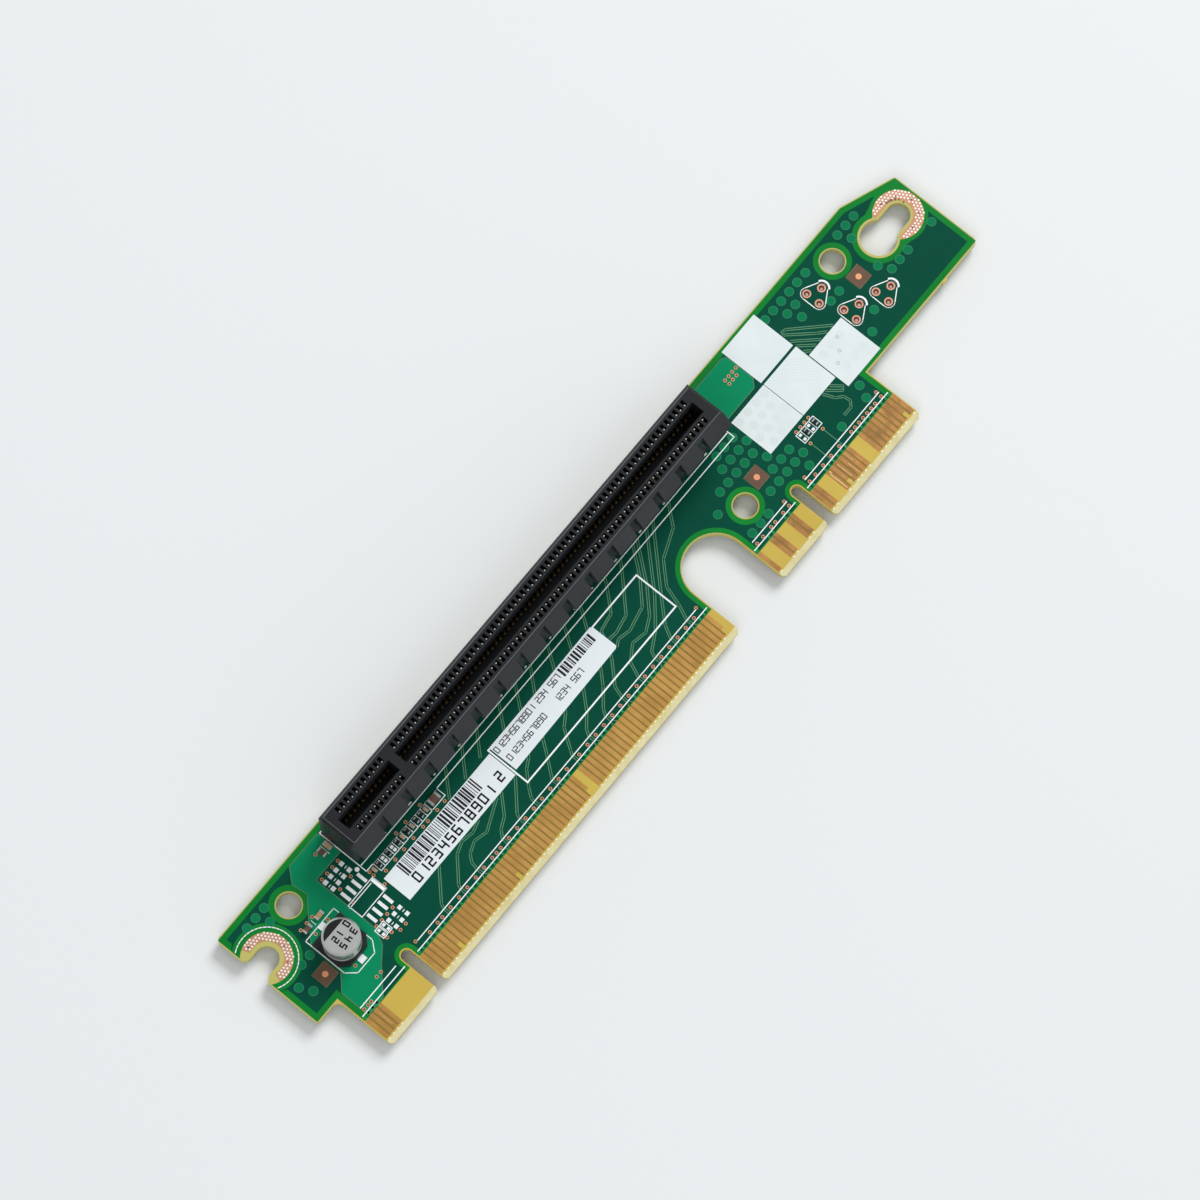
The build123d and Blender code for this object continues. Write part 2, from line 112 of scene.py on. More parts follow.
def setUpCamera():
    data = bpy.data.cameras.new("viewCamera")
    data.lens = camera["lens"]
    data.sensor_width = camera["sensor"]
    data.clip_start, data.clip_end = camera["clip"]
    obj = bpy.data.objects.new("viewCamera", data)
    bpy.context.scene.collection.objects.link(obj)
    right = Vector(camera["right"])
    up = -Vector(camera["down"])
    back = -Vector(camera["ahead"])
    turn = Matrix((right, up, back)).transposed().to_4x4()
    obj.matrix_world = Matrix.Translation(Vector(camera["place"])) @ turn
    bpy.context.scene.camera = obj


def areaLight(name, place, size, power):
    data = bpy.data.lights.new(name, "AREA")
    data.size = size
    data.energy = power
    obj = bpy.data.objects.new(name, data)
    bpy.context.scene.collection.objects.link(obj)
    obj.location = place
    obj.rotation_euler = (-Vector(place)).to_track_quat("-Z", "Y").to_euler()


def setUpStudio():
    world = bpy.data.worlds.new("softRoom")
    bpy.context.scene.world = world
    world.use_nodes = True
    background = world.node_tree.nodes["Background"]
    background.inputs["Color"].default_value = studio["worldColor"]
    background.inputs["Strength"].default_value = studio["worldStrength"]
    areaLight("keyLight", studio["keyPlace"], studio["keySize"], studio["keyPower"])
    areaLight("fillLight", studio["fillPlace"], studio["keySize"], studio["fillPower"])
    mesh = bpy.data.meshes.new("floor")
    half = studio["floorHalf"]
    mesh.from_pydata(
        [(-half, -half, 0), (half, -half, 0), (half, half, 0), (-half, half, 0)], [], [(0, 1, 2, 3)]
    )
    floor = bpy.data.objects.new("floor", mesh)
    bpy.context.scene.collection.objects.link(floor)
    paint = bpy.data.materials.new("floorPaper")
    paint.use_nodes = True
    shader = paint.node_tree.nodes["Principled BSDF"]
    shader.inputs["Base Color"].default_value = studio["floorColor"]
    shader.inputs["Roughness"].default_value = studio["floorRough"]
    shader.inputs["Specular IOR Level"].default_value = studio["floorShine"]
    mesh.materials.append(paint)
    bpy.context.scene.view_settings.view_transform = "Standard"


setUpCamera()
setUpStudio()
print("camera and studio ready")


# Shared effects: a tone that drifts over a surface, fine specks, a fine grain and a band across the card,
# which on the slot is painted shade
effects = {
    "driftDetail": 5,
    "driftRough": 0.6,
    "driftSpan": (0.32, 0.7),
    "patchScale": 140,
    "patchAbove": 0.55,
    "speckColor": (0.55, 0.56, 0.58, 1),
    "grainDetail": 3,
    "bumpDistance": 0.00005,
    "uprightPlay": 0.5,
}
# Sockets of a Mix node that mixes colours: its two colours and its result
mixFirst, mixSecond, mixResult = 6, 7, 2


def newGroup(name, inputs, outputs):
    group = bpy.data.node_groups.new(name, "ShaderNodeTree")
    for label, kind, value in inputs:
        socket = group.interface.new_socket(name=label, in_out="INPUT", socket_type=kind)
        socket.default_value = value
    for label, kind in outputs:
        group.interface.new_socket(name=label, in_out="OUTPUT", socket_type=kind)
    start = group.nodes.new("NodeGroupInput")
    end = group.nodes.new("NodeGroupOutput")
    return group, start.outputs, end.inputs


def objectPlace(tree):
    return tree.nodes.new("ShaderNodeTexCoord").outputs["Object"]


def alongAxis(tree, vector, axis):
    parts = tree.nodes.new("ShaderNodeSeparateXYZ")
    tree.links.new(vector, parts.inputs["Vector"])
    return parts.outputs[axis]


def mathNode(tree, operation, *values):
    node = tree.nodes.new("ShaderNodeMath")
    node.operation = operation
    for i, value in enumerate(values):
        if isinstance(value, (int, float)):
            node.inputs[i].default_value = value
        else:
            tree.links.new(value, node.inputs[i])
    return node.outputs["Value"]


def mixColors(tree, factor, first, second):
    mix = tree.nodes.new("ShaderNodeMix")
    mix.data_type = "RGBA"
    tree.links.new(factor, mix.inputs["Factor"])
    tree.links.new(first, mix.inputs[mixFirst])
    if isinstance(second, tuple):
        mix.inputs[mixSecond].default_value = second
    else:
        tree.links.new(second, mix.inputs[mixSecond])
    return mix.outputs[mixResult]


def makeToneDrift():
    group, given, result = newGroup(
        "toneDrift",
        [
            ("Color", "NodeSocketColor", (0.5, 0.5, 0.5, 1)),
            ("Second", "NodeSocketColor", (0.4, 0.4, 0.4, 1)),
            ("Scale", "NodeSocketFloat", 60.0),
            ("Amount", "NodeSocketFloat", 0.5),
        ],
        [("Color", "NodeSocketColor"), ("Mask", "NodeSocketFloat")],
    )
    noise = group.nodes.new("ShaderNodeTexNoise")
    noise.inputs["Detail"].default_value = effects["driftDetail"]
    noise.inputs["Roughness"].default_value = effects["driftRough"]
    group.links.new(objectPlace(group), noise.inputs["Vector"])
    group.links.new(given["Scale"], noise.inputs["Scale"])
    span = group.nodes.new("ShaderNodeMapRange")
    span.inputs["From Min"].default_value, span.inputs["From Max"].default_value = effects["driftSpan"]
    group.links.new(noise.outputs["Fac"], span.inputs["Value"])
    mask = mathNode(group, "MULTIPLY", span.outputs["Result"], given["Amount"])
    group.links.new(mixColors(group, mask, given["Color"], given["Second"]), result["Color"])
    group.links.new(mask, result["Mask"])
    return group


def makeFineSpecks():
    group, given, result = newGroup(
        "fineSpecks",
        [
            ("Scale", "NodeSocketFloat", 900.0),
            ("Size", "NodeSocketFloat", 0.2),
            ("Amount", "NodeSocketFloat", 1.0),
        ],
        [("Mask", "NodeSocketFloat")],
    )
    where = objectPlace(group)
    cells = group.nodes.new("ShaderNodeTexVoronoi")
    group.links.new(where, cells.inputs["Vector"])
    group.links.new(given["Scale"], cells.inputs["Scale"])
    patch = group.nodes.new("ShaderNodeTexNoise")
    patch.inputs["Scale"].default_value = effects["patchScale"]
    group.links.new(where, patch.inputs["Vector"])
    near = mathNode(group, "LESS_THAN", cells.outputs["Distance"], given["Size"])
    some = mathNode(group, "GREATER_THAN", patch.outputs["Fac"], effects["patchAbove"])
    both = mathNode(group, "MULTIPLY", near, some)
    group.links.new(mathNode(group, "MULTIPLY", both, given["Amount"]), result["Mask"])
    return group


def makeFineGrain():
    group, given, result = newGroup(
        "fineGrain",
        [
            ("Scale", "NodeSocketFloat", 2500.0),
            ("Stretch", "NodeSocketVector", (1.0, 1.0, 1.0)),
            ("Low", "NodeSocketFloat", 0.3),
            ("High", "NodeSocketFloat", 0.5),
        ],
        [("Height", "NodeSocketFloat"), ("Roughness", "NodeSocketFloat")],
    )
    stretch = group.nodes.new("ShaderNodeVectorMath")
    stretch.operation = "MULTIPLY"
    group.links.new(objectPlace(group), stretch.inputs[0])
    group.links.new(given["Stretch"], stretch.inputs[1])
    noise = group.nodes.new("ShaderNodeTexNoise")
    noise.inputs["Detail"].default_value = effects["grainDetail"]
    group.links.new(stretch.outputs["Vector"], noise.inputs["Vector"])
    group.links.new(given["Scale"], noise.inputs["Scale"])
    span = group.nodes.new("ShaderNodeMapRange")
    group.links.new(noise.outputs["Fac"], span.inputs["Value"])
    group.links.new(given["Low"], span.inputs["To Min"])
    group.links.new(given["High"], span.inputs["To Max"])
    group.links.new(noise.outputs["Fac"], result["Height"])
    group.links.new(span.outputs["Result"], result["Roughness"])
    return group


def makeBandAcross():
    group, given, result = newGroup(
        "bandAcross",
        [
            ("Middle", "NodeSocketFloat", 0.0),
            ("Half", "NodeSocketFloat", 0.002),
            ("Amount", "NodeSocketFloat", 1.0),
        ],
        [("Mask", "NodeSocketFloat")],
    )
    away = mathNode(group, "SUBTRACT", alongAxis(group, objectPlace(group), "Y"), given["Middle"])
    inside = mathNode(group, "LESS_THAN", mathNode(group, "ABSOLUTE", away), given["Half"])
    group.links.new(mathNode(group, "MULTIPLY", inside, given["Amount"]), result["Mask"])
    return group


toneDrift = makeToneDrift()
fineSpecks = makeFineSpecks()
fineGrain = makeFineGrain()
bandAcross = makeBandAcross()


def sRgb(r, g, b):
    def linear(v):
        v = v / 255
        return v / 12.92 if v <= 0.04045 else ((v + 0.055) / 1.055) ** 2.4

    return (linear(r), linear(g), linear(b), 1)


# Finishes: each one's colour, the second colour that it drifts to and how far, its roughness from low to
# high, shine, metal and grain. Some have pale specks, a band across the card (painted shade on the slot), or
# paler upright sides.
finishes = {
    "bareLaminate": dict(
        color=(206, 180, 78), second=(190, 158, 60), drift=0.6, scale=90, rough=(0.4, 0.55), spec=0.3,
        grain=900, bump=0.12, side=(204, 192, 122), band=(0.005425, 0.0102, 0.8), bandColor=(184, 182, 104),
    ),
    "bevelLaminate": dict(
        color=(226, 218, 172), second=(206, 192, 128), drift=0.7, scale=700, rough=(0.6, 0.8), spec=0.2,
        grain=2400, bump=0.35,
    ),
    # Painted shade: the laminate between the fingers darkened where shade falls between them
    "contactGapShade": dict(
        color=(150, 124, 56), second=(124, 100, 46), drift=0.6, scale=260, rough=(0.4, 0.6), spec=0.2,
        grain=1500, bump=0.1,
    ),
    "greenRim": dict(
        color=(8, 118, 42), second=(24, 142, 56), drift=0.6, scale=70, rough=(0.25, 0.4), spec=0.1,
        grain=1400, bump=0.06,
    ),
    "greenPlane": dict(
        color=(1, 70, 53), second=(6, 81, 61), drift=0.6, scale=55, rough=(0.22, 0.36), spec=0.08,
        grain=1400, bump=0.06,
    ),
    "greenPour": dict(
        color=(4, 139, 92), second=(2, 122, 82), drift=0.5, scale=60, rough=(0.22, 0.36), spec=0.1,
        grain=1400, bump=0.06,
    ),
    "greenLine": dict(
        color=(98, 146, 112), second=(72, 128, 92), drift=0.6, scale=150, rough=(0.25, 0.4), spec=0.2,
        grain=1400, bump=0.05,
    ),
    "greenEdge": dict(
        color=(96, 134, 98), second=(70, 116, 82), drift=0.6, scale=150, rough=(0.25, 0.4), spec=0.2,
        grain=1400, bump=0.05,
    ),
    "greenDot": dict(
        color=(6, 122, 76), second=(2, 104, 66), drift=0.5, scale=120, rough=(0.22, 0.36), spec=0.1,
        grain=1400, bump=0.05,
    ),
    "greenRing": dict(
        color=(54, 128, 96), second=(34, 110, 80), drift=0.6, scale=200, rough=(0.22, 0.36), spec=0.18,
        grain=1400, bump=0.05,
    ),
    "greenStub": dict(
        color=(24, 142, 84), second=(14, 124, 74), drift=0.5, scale=300, rough=(0.22, 0.36), spec=0.18,
        grain=1400, bump=0.05,
    ),
    "wornGold": dict(
        color=(202, 156, 84), second=(166, 120, 58), drift=0.75, scale=240, rough=(0.32, 0.55), metal=0.7,
        grain=2600, stretch=(5, 1, 1), bump=0.1,
    ),
    "wornGoldDark": dict(
        color=(190, 138, 78), second=(134, 94, 56), drift=0.85, scale=380, rough=(0.35, 0.6), metal=0.65,
        grain=2600, stretch=(5, 1, 1), bump=0.12,
    ),
    "wornThrough": dict(
        color=(222, 184, 124), second=(186, 140, 84), drift=0.8, scale=900, rough=(0.35, 0.6), metal=0.5,
        grain=2600, bump=0.2,
    ),
    "brightGold": dict(
        color=(250, 246, 226), second=(236, 226, 190), drift=0.4, scale=900, rough=(0.3, 0.45), metal=0.2,
        grain=2600, bump=0.05,
    ),
    # Painted shade: the contacts' metal is darkened so the groove's gloom is in its colour
    "springMetalPaintedShade": dict(
        color=(106, 86, 56), second=(76, 60, 38), drift=0.5, scale=500, rough=(0.25, 0.45), metal=0.85,
        grain=3000, bump=0.05,
    ),
    # Painted highlight: the contacts' metal painted pale where their tips catch the light
    "tipHighlight": dict(
        color=(226, 222, 210), second=(206, 196, 170), drift=0.4, scale=900, rough=(0.25, 0.4), metal=0.5,
        grain=3000, bump=0.05,
    ),
    # The slot's band is painted shade: its top face and groove are darker than the flange
    "slotPlastic": dict(
        color=(54, 56, 59), second=(46, 48, 51), drift=0.5, scale=110, rough=(0.36, 0.5), spec=0.22,
        grain=2400, bump=0.14, specks=(120, 0.05, 0.25), band=(0.010285, 0.003, 0.9), bandColor=(26, 27, 30),
    ),
    "basePlastic": dict(
        color=(26, 27, 29), second=(20, 21, 22), drift=0.4, scale=200, rough=(0.35, 0.5), spec=0.3,
        grain=3000, bump=0.12,
    ),
    # Painted highlight: pale lines for the light caught on the slot top's edges
    "slotEdgeHighlight": dict(
        color=(116, 118, 120), second=(92, 94, 96), drift=0.7, scale=160, rough=(0.3, 0.45), spec=0.4,
        grain=2400, bump=0.1,
    ),
    "tin": dict(
        color=(206, 208, 210), second=(156, 158, 162), drift=0.6, scale=500, rough=(0.22, 0.42), metal=0.85,
        grain=2200, bump=0.2,
    ),
    # Painted highlight: solder painted near white, a lit copy of the tin finish
    "tinPaintedHighlight": dict(
        color=(246, 248, 248), second=(222, 226, 228), drift=0.5, scale=900, rough=(0.3, 0.45), metal=0.15,
        grain=2200, bump=0.2,
    ),
    "bareCopper": dict(
        color=(206, 148, 110), second=(184, 122, 88), drift=0.6, scale=300, rough=(0.35, 0.5), metal=0.3,
        grain=2400, bump=0.1,
    ),
    "stainedTin": dict(
        color=(92, 72, 62), second=(124, 92, 74), drift=0.7, scale=700, rough=(0.5, 0.7), metal=0.2,
        grain=2400, bump=0.2,
    ),
    "canMetal": dict(
        color=(204, 206, 202), second=(176, 178, 174), drift=0.5, scale=160, rough=(0.24, 0.38), metal=0.75,
        grain=1800, stretch=(1, 1, 8), bump=0.05,
    ),
    "canInk": dict(
        color=(24, 24, 26), second=(34, 34, 36), drift=0.4, scale=260, rough=(0.4, 0.55), spec=0.2,
        grain=2200, bump=0.06,
    ),
    "brownCeramic": dict(
        color=(104, 80, 66), second=(84, 64, 54), drift=0.6, scale=700, rough=(0.5, 0.7), spec=0.25,
        grain=3200, bump=0.15,
    ),
    "tanCeramic": dict(
        color=(182, 150, 112), second=(156, 126, 92), drift=0.6, scale=700, rough=(0.5, 0.7), spec=0.25,
        grain=3200, bump=0.15,
    ),
    "blackCeramic": dict(
        color=(22, 23, 26), second=(34, 35, 38), drift=0.6, scale=700, rough=(0.3, 0.45), spec=0.25,
        grain=3200, bump=0.1,
    ),
    "whiteInk": dict(
        color=(226, 233, 233), second=(212, 221, 220), drift=0.6, scale=220, rough=(0.5, 0.68), spec=0.3,
        grain=2600, bump=0.1,
    ),
    # Painted light: the print blocks' white ink painted brighter for the lines, so they stay bright in the
    # shade beside the slot
    "lineInkPaintedLight": dict(
        color=(250, 253, 253), second=(238, 244, 244), drift=0.6, scale=220, rough=(0.5, 0.68), spec=0.3,
        grain=2600, bump=0.1,
    ),
    "inkThinned": dict(
        color=(217, 227, 225), second=(212, 222, 220), drift=0.5, scale=400, rough=(0.5, 0.68), spec=0.3,
        grain=2600, bump=0.1,
    ),
    "stampInk": dict(
        color=(168, 176, 176), second=(190, 198, 198), drift=0.8, scale=900, rough=(0.5, 0.68), spec=0.3,
        grain=2600, bump=0.1,
    ),
    "labelPaper": dict(
        color=(232, 239, 241), second=(222, 229, 231), drift=0.5, scale=90, rough=(0.42, 0.58), spec=0.3,
        grain=2800, bump=0.08,
    ),
    "labelInk": dict(
        color=(22, 22, 26), second=(46, 46, 50), drift=0.5, scale=500, rough=(0.5, 0.7), spec=0.2,
        grain=2800, bump=0.05,
    ),
    "dotInk": dict(
        color=(44, 44, 50), second=(84, 86, 92), drift=0.8, scale=1500, rough=(0.5, 0.7), spec=0.2,
        grain=2800, bump=0.05,
    ),
    "viaRing": dict(
        color=(216, 164, 124), second=(192, 134, 94), drift=0.6, scale=900, rough=(0.3, 0.5), metal=0.3,
        grain=2600, bump=0.1,
    ),
    # Painted shade: a via's hole drawn as a dark copper-coloured disc
    "viaWellShade": dict(
        color=(138, 52, 34), second=(96, 38, 26), drift=0.6, scale=900, rough=(0.5, 0.7), spec=0.2,
        grain=2600, bump=0.1,
    ),
    # Painted shade: a test hole drawn as a dark disc
    "drilledHoleShade": dict(
        color=(112, 58, 40), second=(72, 36, 26), drift=0.7, scale=900, rough=(0.6, 0.8), spec=0.2,
        grain=2600, bump=0.1,
    ),
    # Painted light: the pale floor seen through a test hole, painted as a spot
    "paintedLightThrough": dict(
        color=(196, 176, 168), second=(150, 116, 104), drift=0.8, scale=1200, rough=(0.6, 0.8), spec=0.2,
        grain=2600, bump=0.1,
    ),
    "markField": dict(
        color=(112, 84, 68), second=(92, 72, 54), drift=0.6, scale=300, rough=(0.4, 0.6), spec=0.2,
        grain=2600, bump=0.1,
    ),
    "brightCopper": dict(
        color=(238, 164, 116), second=(216, 138, 90), drift=0.4, scale=400, rough=(0.3, 0.45), metal=0.3,
        grain=2600, bump=0.1,
    ),
    "ringCopper": dict(
        color=(226, 166, 140), second=(204, 140, 116), drift=0.5, scale=600, rough=(0.3, 0.45), metal=0.3,
        grain=2600, bump=0.1,
    ),
}


def useEffect(tree, group, **values):
    node = tree.nodes.new("ShaderNodeGroup")
    node.node_tree = group
    for label, value in values.items():
        node.inputs[label].default_value = value
    return node.outputs


def makeFinish(name):
    f = finishes[name]
    material = bpy.data.materials.new(name)
    material.use_nodes = True
    tree = material.node_tree
    shader = tree.nodes["Principled BSDF"]
    first, second = sRgb(*f["color"]), sRgb(*f["second"])
    tone = useEffect(tree, toneDrift, Color=first, Second=second, Scale=f["scale"], Amount=f["drift"])
    color = tone["Color"]
    if "specks" in f:
        scale, size, amount = f["specks"]
        dust = useEffect(tree, fineSpecks, Scale=scale, Size=size, Amount=amount)
        color = mixColors(tree, dust["Mask"], color, effects["speckColor"])
    # The band across the card: a colour on the laminate, painted shade on the slot's top face and groove
    if "band" in f:
        middle, half, amount = f["band"]
        band = useEffect(tree, bandAcross, Middle=middle, Half=half, Amount=amount)
        color = mixColors(tree, band["Mask"], color, sRgb(*f["bandColor"]))
    if "side" in f:
        normal = tree.nodes.new("ShaderNodeTexCoord").outputs["Normal"]
        upright = mathNode(tree, "COMPARE", alongAxis(tree, normal, "Z"), 0, effects["uprightPlay"])
        color = mixColors(tree, upright, color, sRgb(*f["side"]))
    tree.links.new(color, shader.inputs["Base Color"])
    low, high = f["rough"]
    stretch = f.get("stretch", (1, 1, 1))
    grain = useEffect(tree, fineGrain, Scale=f["grain"], Stretch=stretch, Low=low, High=high)
    tree.links.new(grain["Roughness"], shader.inputs["Roughness"])
    bump = tree.nodes.new("ShaderNodeBump")
    bump.inputs["Strength"].default_value = f["bump"]
    bump.inputs["Distance"].default_value = effects["bumpDistance"]
    tree.links.new(grain["Height"], bump.inputs["Height"])
    tree.links.new(bump.outputs["Normal"], shader.inputs["Normal"])
    shader.inputs["Metallic"].default_value = f.get("metal", 0.0)
    shader.inputs["Specular IOR Level"].default_value = f.get("spec", 0.5)
    return material


finish = {name: makeFinish(name) for name in finishes}
nodeFinish = {
    "circuit_board": "bareLaminate",
    "solder_mask_top": "greenRim",
    "solder_mask_bottom": "greenRim",
    "slot_housing": "slotPlastic",
    "slot_contacts_far": "springMetalPaintedShade",
    "slot_contacts_near": "springMetalPaintedShade",
    "solder_joints": "tin",
    "long_contacts_top": "wornGold",
    "long_contacts_bottom": "wornGold",
    "short_contacts_top": "wornGoldDark",
    "short_contacts_bottom": "wornGoldDark",
    "keyhole_pads": "bareCopper",
    "notch_pads": "bareCopper",
    "capacitor_can": "canMetal",
    "capacitor_stripe": "canInk",
    "capacitor_base": "basePlastic",
    "capacitor_leads": "tin",
    "brown_chips": "brownCeramic",
    "tan_chips": "tanCeramic",
    "black_chips": "blackCeramic",
    "large_chip": "brownCeramic",
    "chip_ends": "tin",
    "empty_lands": "tinPaintedHighlight",
    "printed_blocks": "whiteInk",
    "long_label": "labelPaper",
    "round_label": "labelPaper",
}
for name, material in nodeFinish.items():
    mesh = nodes[name].data
    mesh.materials.clear()
    mesh.materials.append(finish[material])
print("finishes on the fitted pieces")


# Flat work: thin slabs on the board's faces, each laid at its own small height
def addPiece(name, mesh, material):
    mesh.materials.clear()
    mesh.materials.append(finish[material])
    obj = bpy.data.objects.new(name, mesh)
    bpy.context.scene.collection.objects.link(obj)
    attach(obj, "root")
    return obj


def slabMesh(name, outlines, low, high):
    verts = []
    faces = []
    for outline in outlines:
        n = len(outline)
        start = len(verts)
        verts += [(boardX(x), boardY(y), low) for x, y in outline]
        verts += [(boardX(x), boardY(y), high) for x, y in outline]
        faces.append([start + n + i for i in range(n)])
        faces.append([start + i for i in reversed(range(n))])
        for i in range(n):
            j = (i + 1) % n
            faces.append([start + i, start + j, start + n + j, start + n + i])
    mesh = bpy.data.meshes.new(name)
    mesh.from_pydata(verts, [], faces)
    work = bmesh.new()
    work.from_mesh(mesh)
    bmesh.ops.recalc_face_normals(work, faces=work.faces)
    work.to_mesh(mesh)
    work.free()
    return mesh


def slabFoot(height, thick, base):
    return aboveBoard(height - thick) if base is None else (base + height - thick) * mm


def flatPiece(name, outlines, material, height, thick=thin, base=None):
    low = slabFoot(height, thick, base)
    return addPiece(name, slabMesh(name, outlines, low, low + thick * mm), material)


def roundOutline(x, y, radius, sides=20):
    step = 2 * math.pi / sides
    return [(x + radius * math.cos(i * step), y + radius * math.sin(i * step)) for i in range(sides)]


def boxOutline(x0, y0, x1, y1):
    return [(x0, y0), (x1, y0), (x1, y1), (x0, y1)]


def centredBox(x, y, width, depth, turn=0.0):
    c = math.cos(math.radians(turn))
    s = math.sin(math.radians(turn))
    corners = boxOutline(-width / 2, -depth / 2, width / 2, depth / 2)
    return [(x + c * a - s * b, y + s * a + c * b) for a, b in corners]


def shifted(points, side):
    out = []
    last = len(points) - 1
    for i, (x, y) in enumerate(points):
        x0, y0 = points[max(i - 1, 0)]
        x1, y1 = points[min(i + 1, last)]
        length = math.hypot(x1 - x0, y1 - y0)
        out.append((x - (y1 - y0) / length * side, y + (x1 - x0) / length * side))
    return out


def lineOutline(points, width):
    return shifted(points, width / 2) + shifted(points, -width / 2)[::-1]


# Each stretch of a line is a slab of its own, a little longer than the stretch, so that bends close
lineOverlap = 0.3


def lineOutlines(points, width):
    pieces = []
    for a, b in zip(points, points[1:]):
        length = math.hypot(b[0] - a[0], b[1] - a[1])
        ux = (b[0] - a[0]) / length * width * lineOverlap
        uy = (b[1] - a[1]) / length * width * lineOverlap
        pieces.append(lineOutline([(a[0] - ux, a[1] - uy), (b[0] + ux, b[1] + uy)], width))
    return pieces


def closed(loop):
    return loop + loop[:1]


def frameOutlines(x0, y0, x1, y1, width):
    h = width / 2
    return [
        boxOutline(x0 - h, y0 - h, x1 + h, y0 + h),
        boxOutline(x0 - h, y1 - h, x1 + h, y1 + h),
        boxOutline(x0 - h, y0 + h, x0 + h, y1 - h),
        boxOutline(x1 - h, y0 + h, x1 + h, y1 - h),
    ]


def filledMesh(name, loops, low, thick):
    curve = bpy.data.curves.new(name, "CURVE")
    curve.dimensions = "2D"
    curve.fill_mode = "BOTH"
    curve.extrude = thick * mm / 2
    for loop in loops:
        spline = curve.splines.new("POLY")
        spline.points.add(len(loop) - 1)
        for point, (x, y) in zip(spline.points, loop):
            point.co = (boardX(x), boardY(y), 0, 1)
        spline.use_cyclic_u = True
    obj = bpy.data.objects.new(name, curve)
    bpy.context.scene.collection.objects.link(obj)
    depsgraph = bpy.context.evaluated_depsgraph_get()
    mesh = bpy.data.meshes.new_from_object(obj.evaluated_get(depsgraph))
    bpy.data.objects.remove(obj)
    bpy.data.curves.remove(curve)
    mesh.name = name
    mesh.transform(Matrix.Translation((0, 0, low + thick * mm / 2)))
    return mesh


def filledPiece(name, loops, material, height, thick=thin, base=None):
    return addPiece(name, filledMesh(name, loops, slabFoot(height, thick, base), thick), material)


def arcPoints(x, y, radius, start, end, steps):
    step = (end - start) / steps
    turns = [math.radians(start + i * step) for i in range(steps + 1)]
    return [(x + radius * math.cos(a), y + radius * math.sin(a)) for a in turns]


# Inner copper plane: the darker green that stops short of every edge
plane = {
    "rim": 1.15,
    "cutRim": 1.0,
    "keyRim": 0.95,
    "lowEdge": 0.95,
    "notchReach": 5.55,
    "slotReach": 4.75,
    "headReach": 4.3,
}


def roundKey(x):
    reach = card["keyHalf"] + plane["keyRim"]
    low = plane["lowEdge"]
    return [(x - reach, low)] + arcPoints(x, card["keyDepth"], reach, 180, 0, 12) + [(x + reach, low)]


def planeOutline():
    low = plane["lowEdge"]
    left = card["left"] + plane["rim"]
    right = card["right"] - plane["rim"]
    far = card["farEdge"] - plane["rim"]
    step = card["stepHeight"] + plane["rim"]
    stepLeft = card["stepLeft"] + plane["rim"]
    stepRight = card["stepRight"] - plane["rim"]
    cutX, cutY = card["cutOut"]
    cut = card["cutHalf"] + plane["cutRim"]
    points = [(left, far), (left, 24.2)] + arcPoints(*card["notch"], plane["notchReach"], 118, -118, 22)
    points += [(left, 13.0), (left, step), (stepLeft, step), (stepLeft, low)] + roundKey(card["keys"][0])
    points += [(cutX - cut, low)] + arcPoints(cutX, cutY, cut, 180, 0, 24) + [(cutX + cut, low)]
    points += roundKey(card["keys"][1]) + [(stepRight, low), (stepRight, step), (right, step)]
    points += arcPoints(*card["keyholeSlot"], plane["slotReach"], -44, -115, 14)
    points += arcPoints(*card["keyholeHead"], plane["headReach"], 290, 70, 22)
    points += arcPoints(*card["keyholeSlot"], plane["slotReach"], 115, 92, 5)
    return points + [(138.0, 23.4), (133.1, far)]


# Alignment marks: a bare window with a copper dot
marks = {"places": [(-12.13, 10.15), (90.8, 8.7), (126.4, 16.9)], "window": 3.0, "play": 0.06, "dot": 0.5}


def markWindows(size):
    return [centredBox(x, y, size, size) for x, y in marks["places"]]


loops = [planeOutline()] + [roundOutline(x, y, radius, 32) for x, y, radius in card["coatHoles"]]
windows = markWindows(marks["window"])
filledPiece("innerPlane", loops + windows, "greenPlane", layers["plane"])
filledPiece("backPlane", loops, "greenPlane", backLayers["plane"], base=back)
windows = markWindows(marks["window"] - marks["play"])
flatPiece("markWindows", windows, "markField", faceHeights["bare"] + 0.014, 0.01)
dots = [roundOutline(x, y, marks["dot"], 24) for x, y in marks["places"]]
flatPiece("markDots", dots, "brightCopper", faceHeights["bare"] + 0.03, 0.02)
print("inner planes laid")

# Widths of the lines in the coat and of the white print
widths = {
    "mark": 0.07, "slant": 0.1, "edge": 0.12, "ladder": 0.13, "can": 0.14, "part": 0.15, "rule": 0.17,
    "place": 0.26,
}

# Copper areas under the coat
pours = {
    "besideNotch": [
        (-2.0, 25.2), (3.9, 25.2), (3.9, 20.6), (-1.8, 20.6), (-1.8, 8.9), (-3.0, 6.4), (-5.6, 4.4),
        (-9.3, 1.0), (-12.8, 1.0), (-12.8, 6.3), (-10.3, 8.6), (-10.3, 14.5), (-6.0, 18.8), (-4.4, 20.2),
        (-4.7, 23.0), (-2.8, 25.2),
    ],
    "besideSlot": [(93.9, 25.1), (102.3, 25.1), (102.95, 24.6), (102.95, 19.3), (101.8, 18.1), (93.9, 18.1)],
}
for name, loop in pours.items():
    filledPiece("pour" + name.capitalize(), [loop], "greenPour", layers["area"])
    edge = lineOutlines(closed(loop), widths["edge"])
    flatPiece("edge" + name.capitalize(), edge, "greenEdge", layers["areaEdge"])

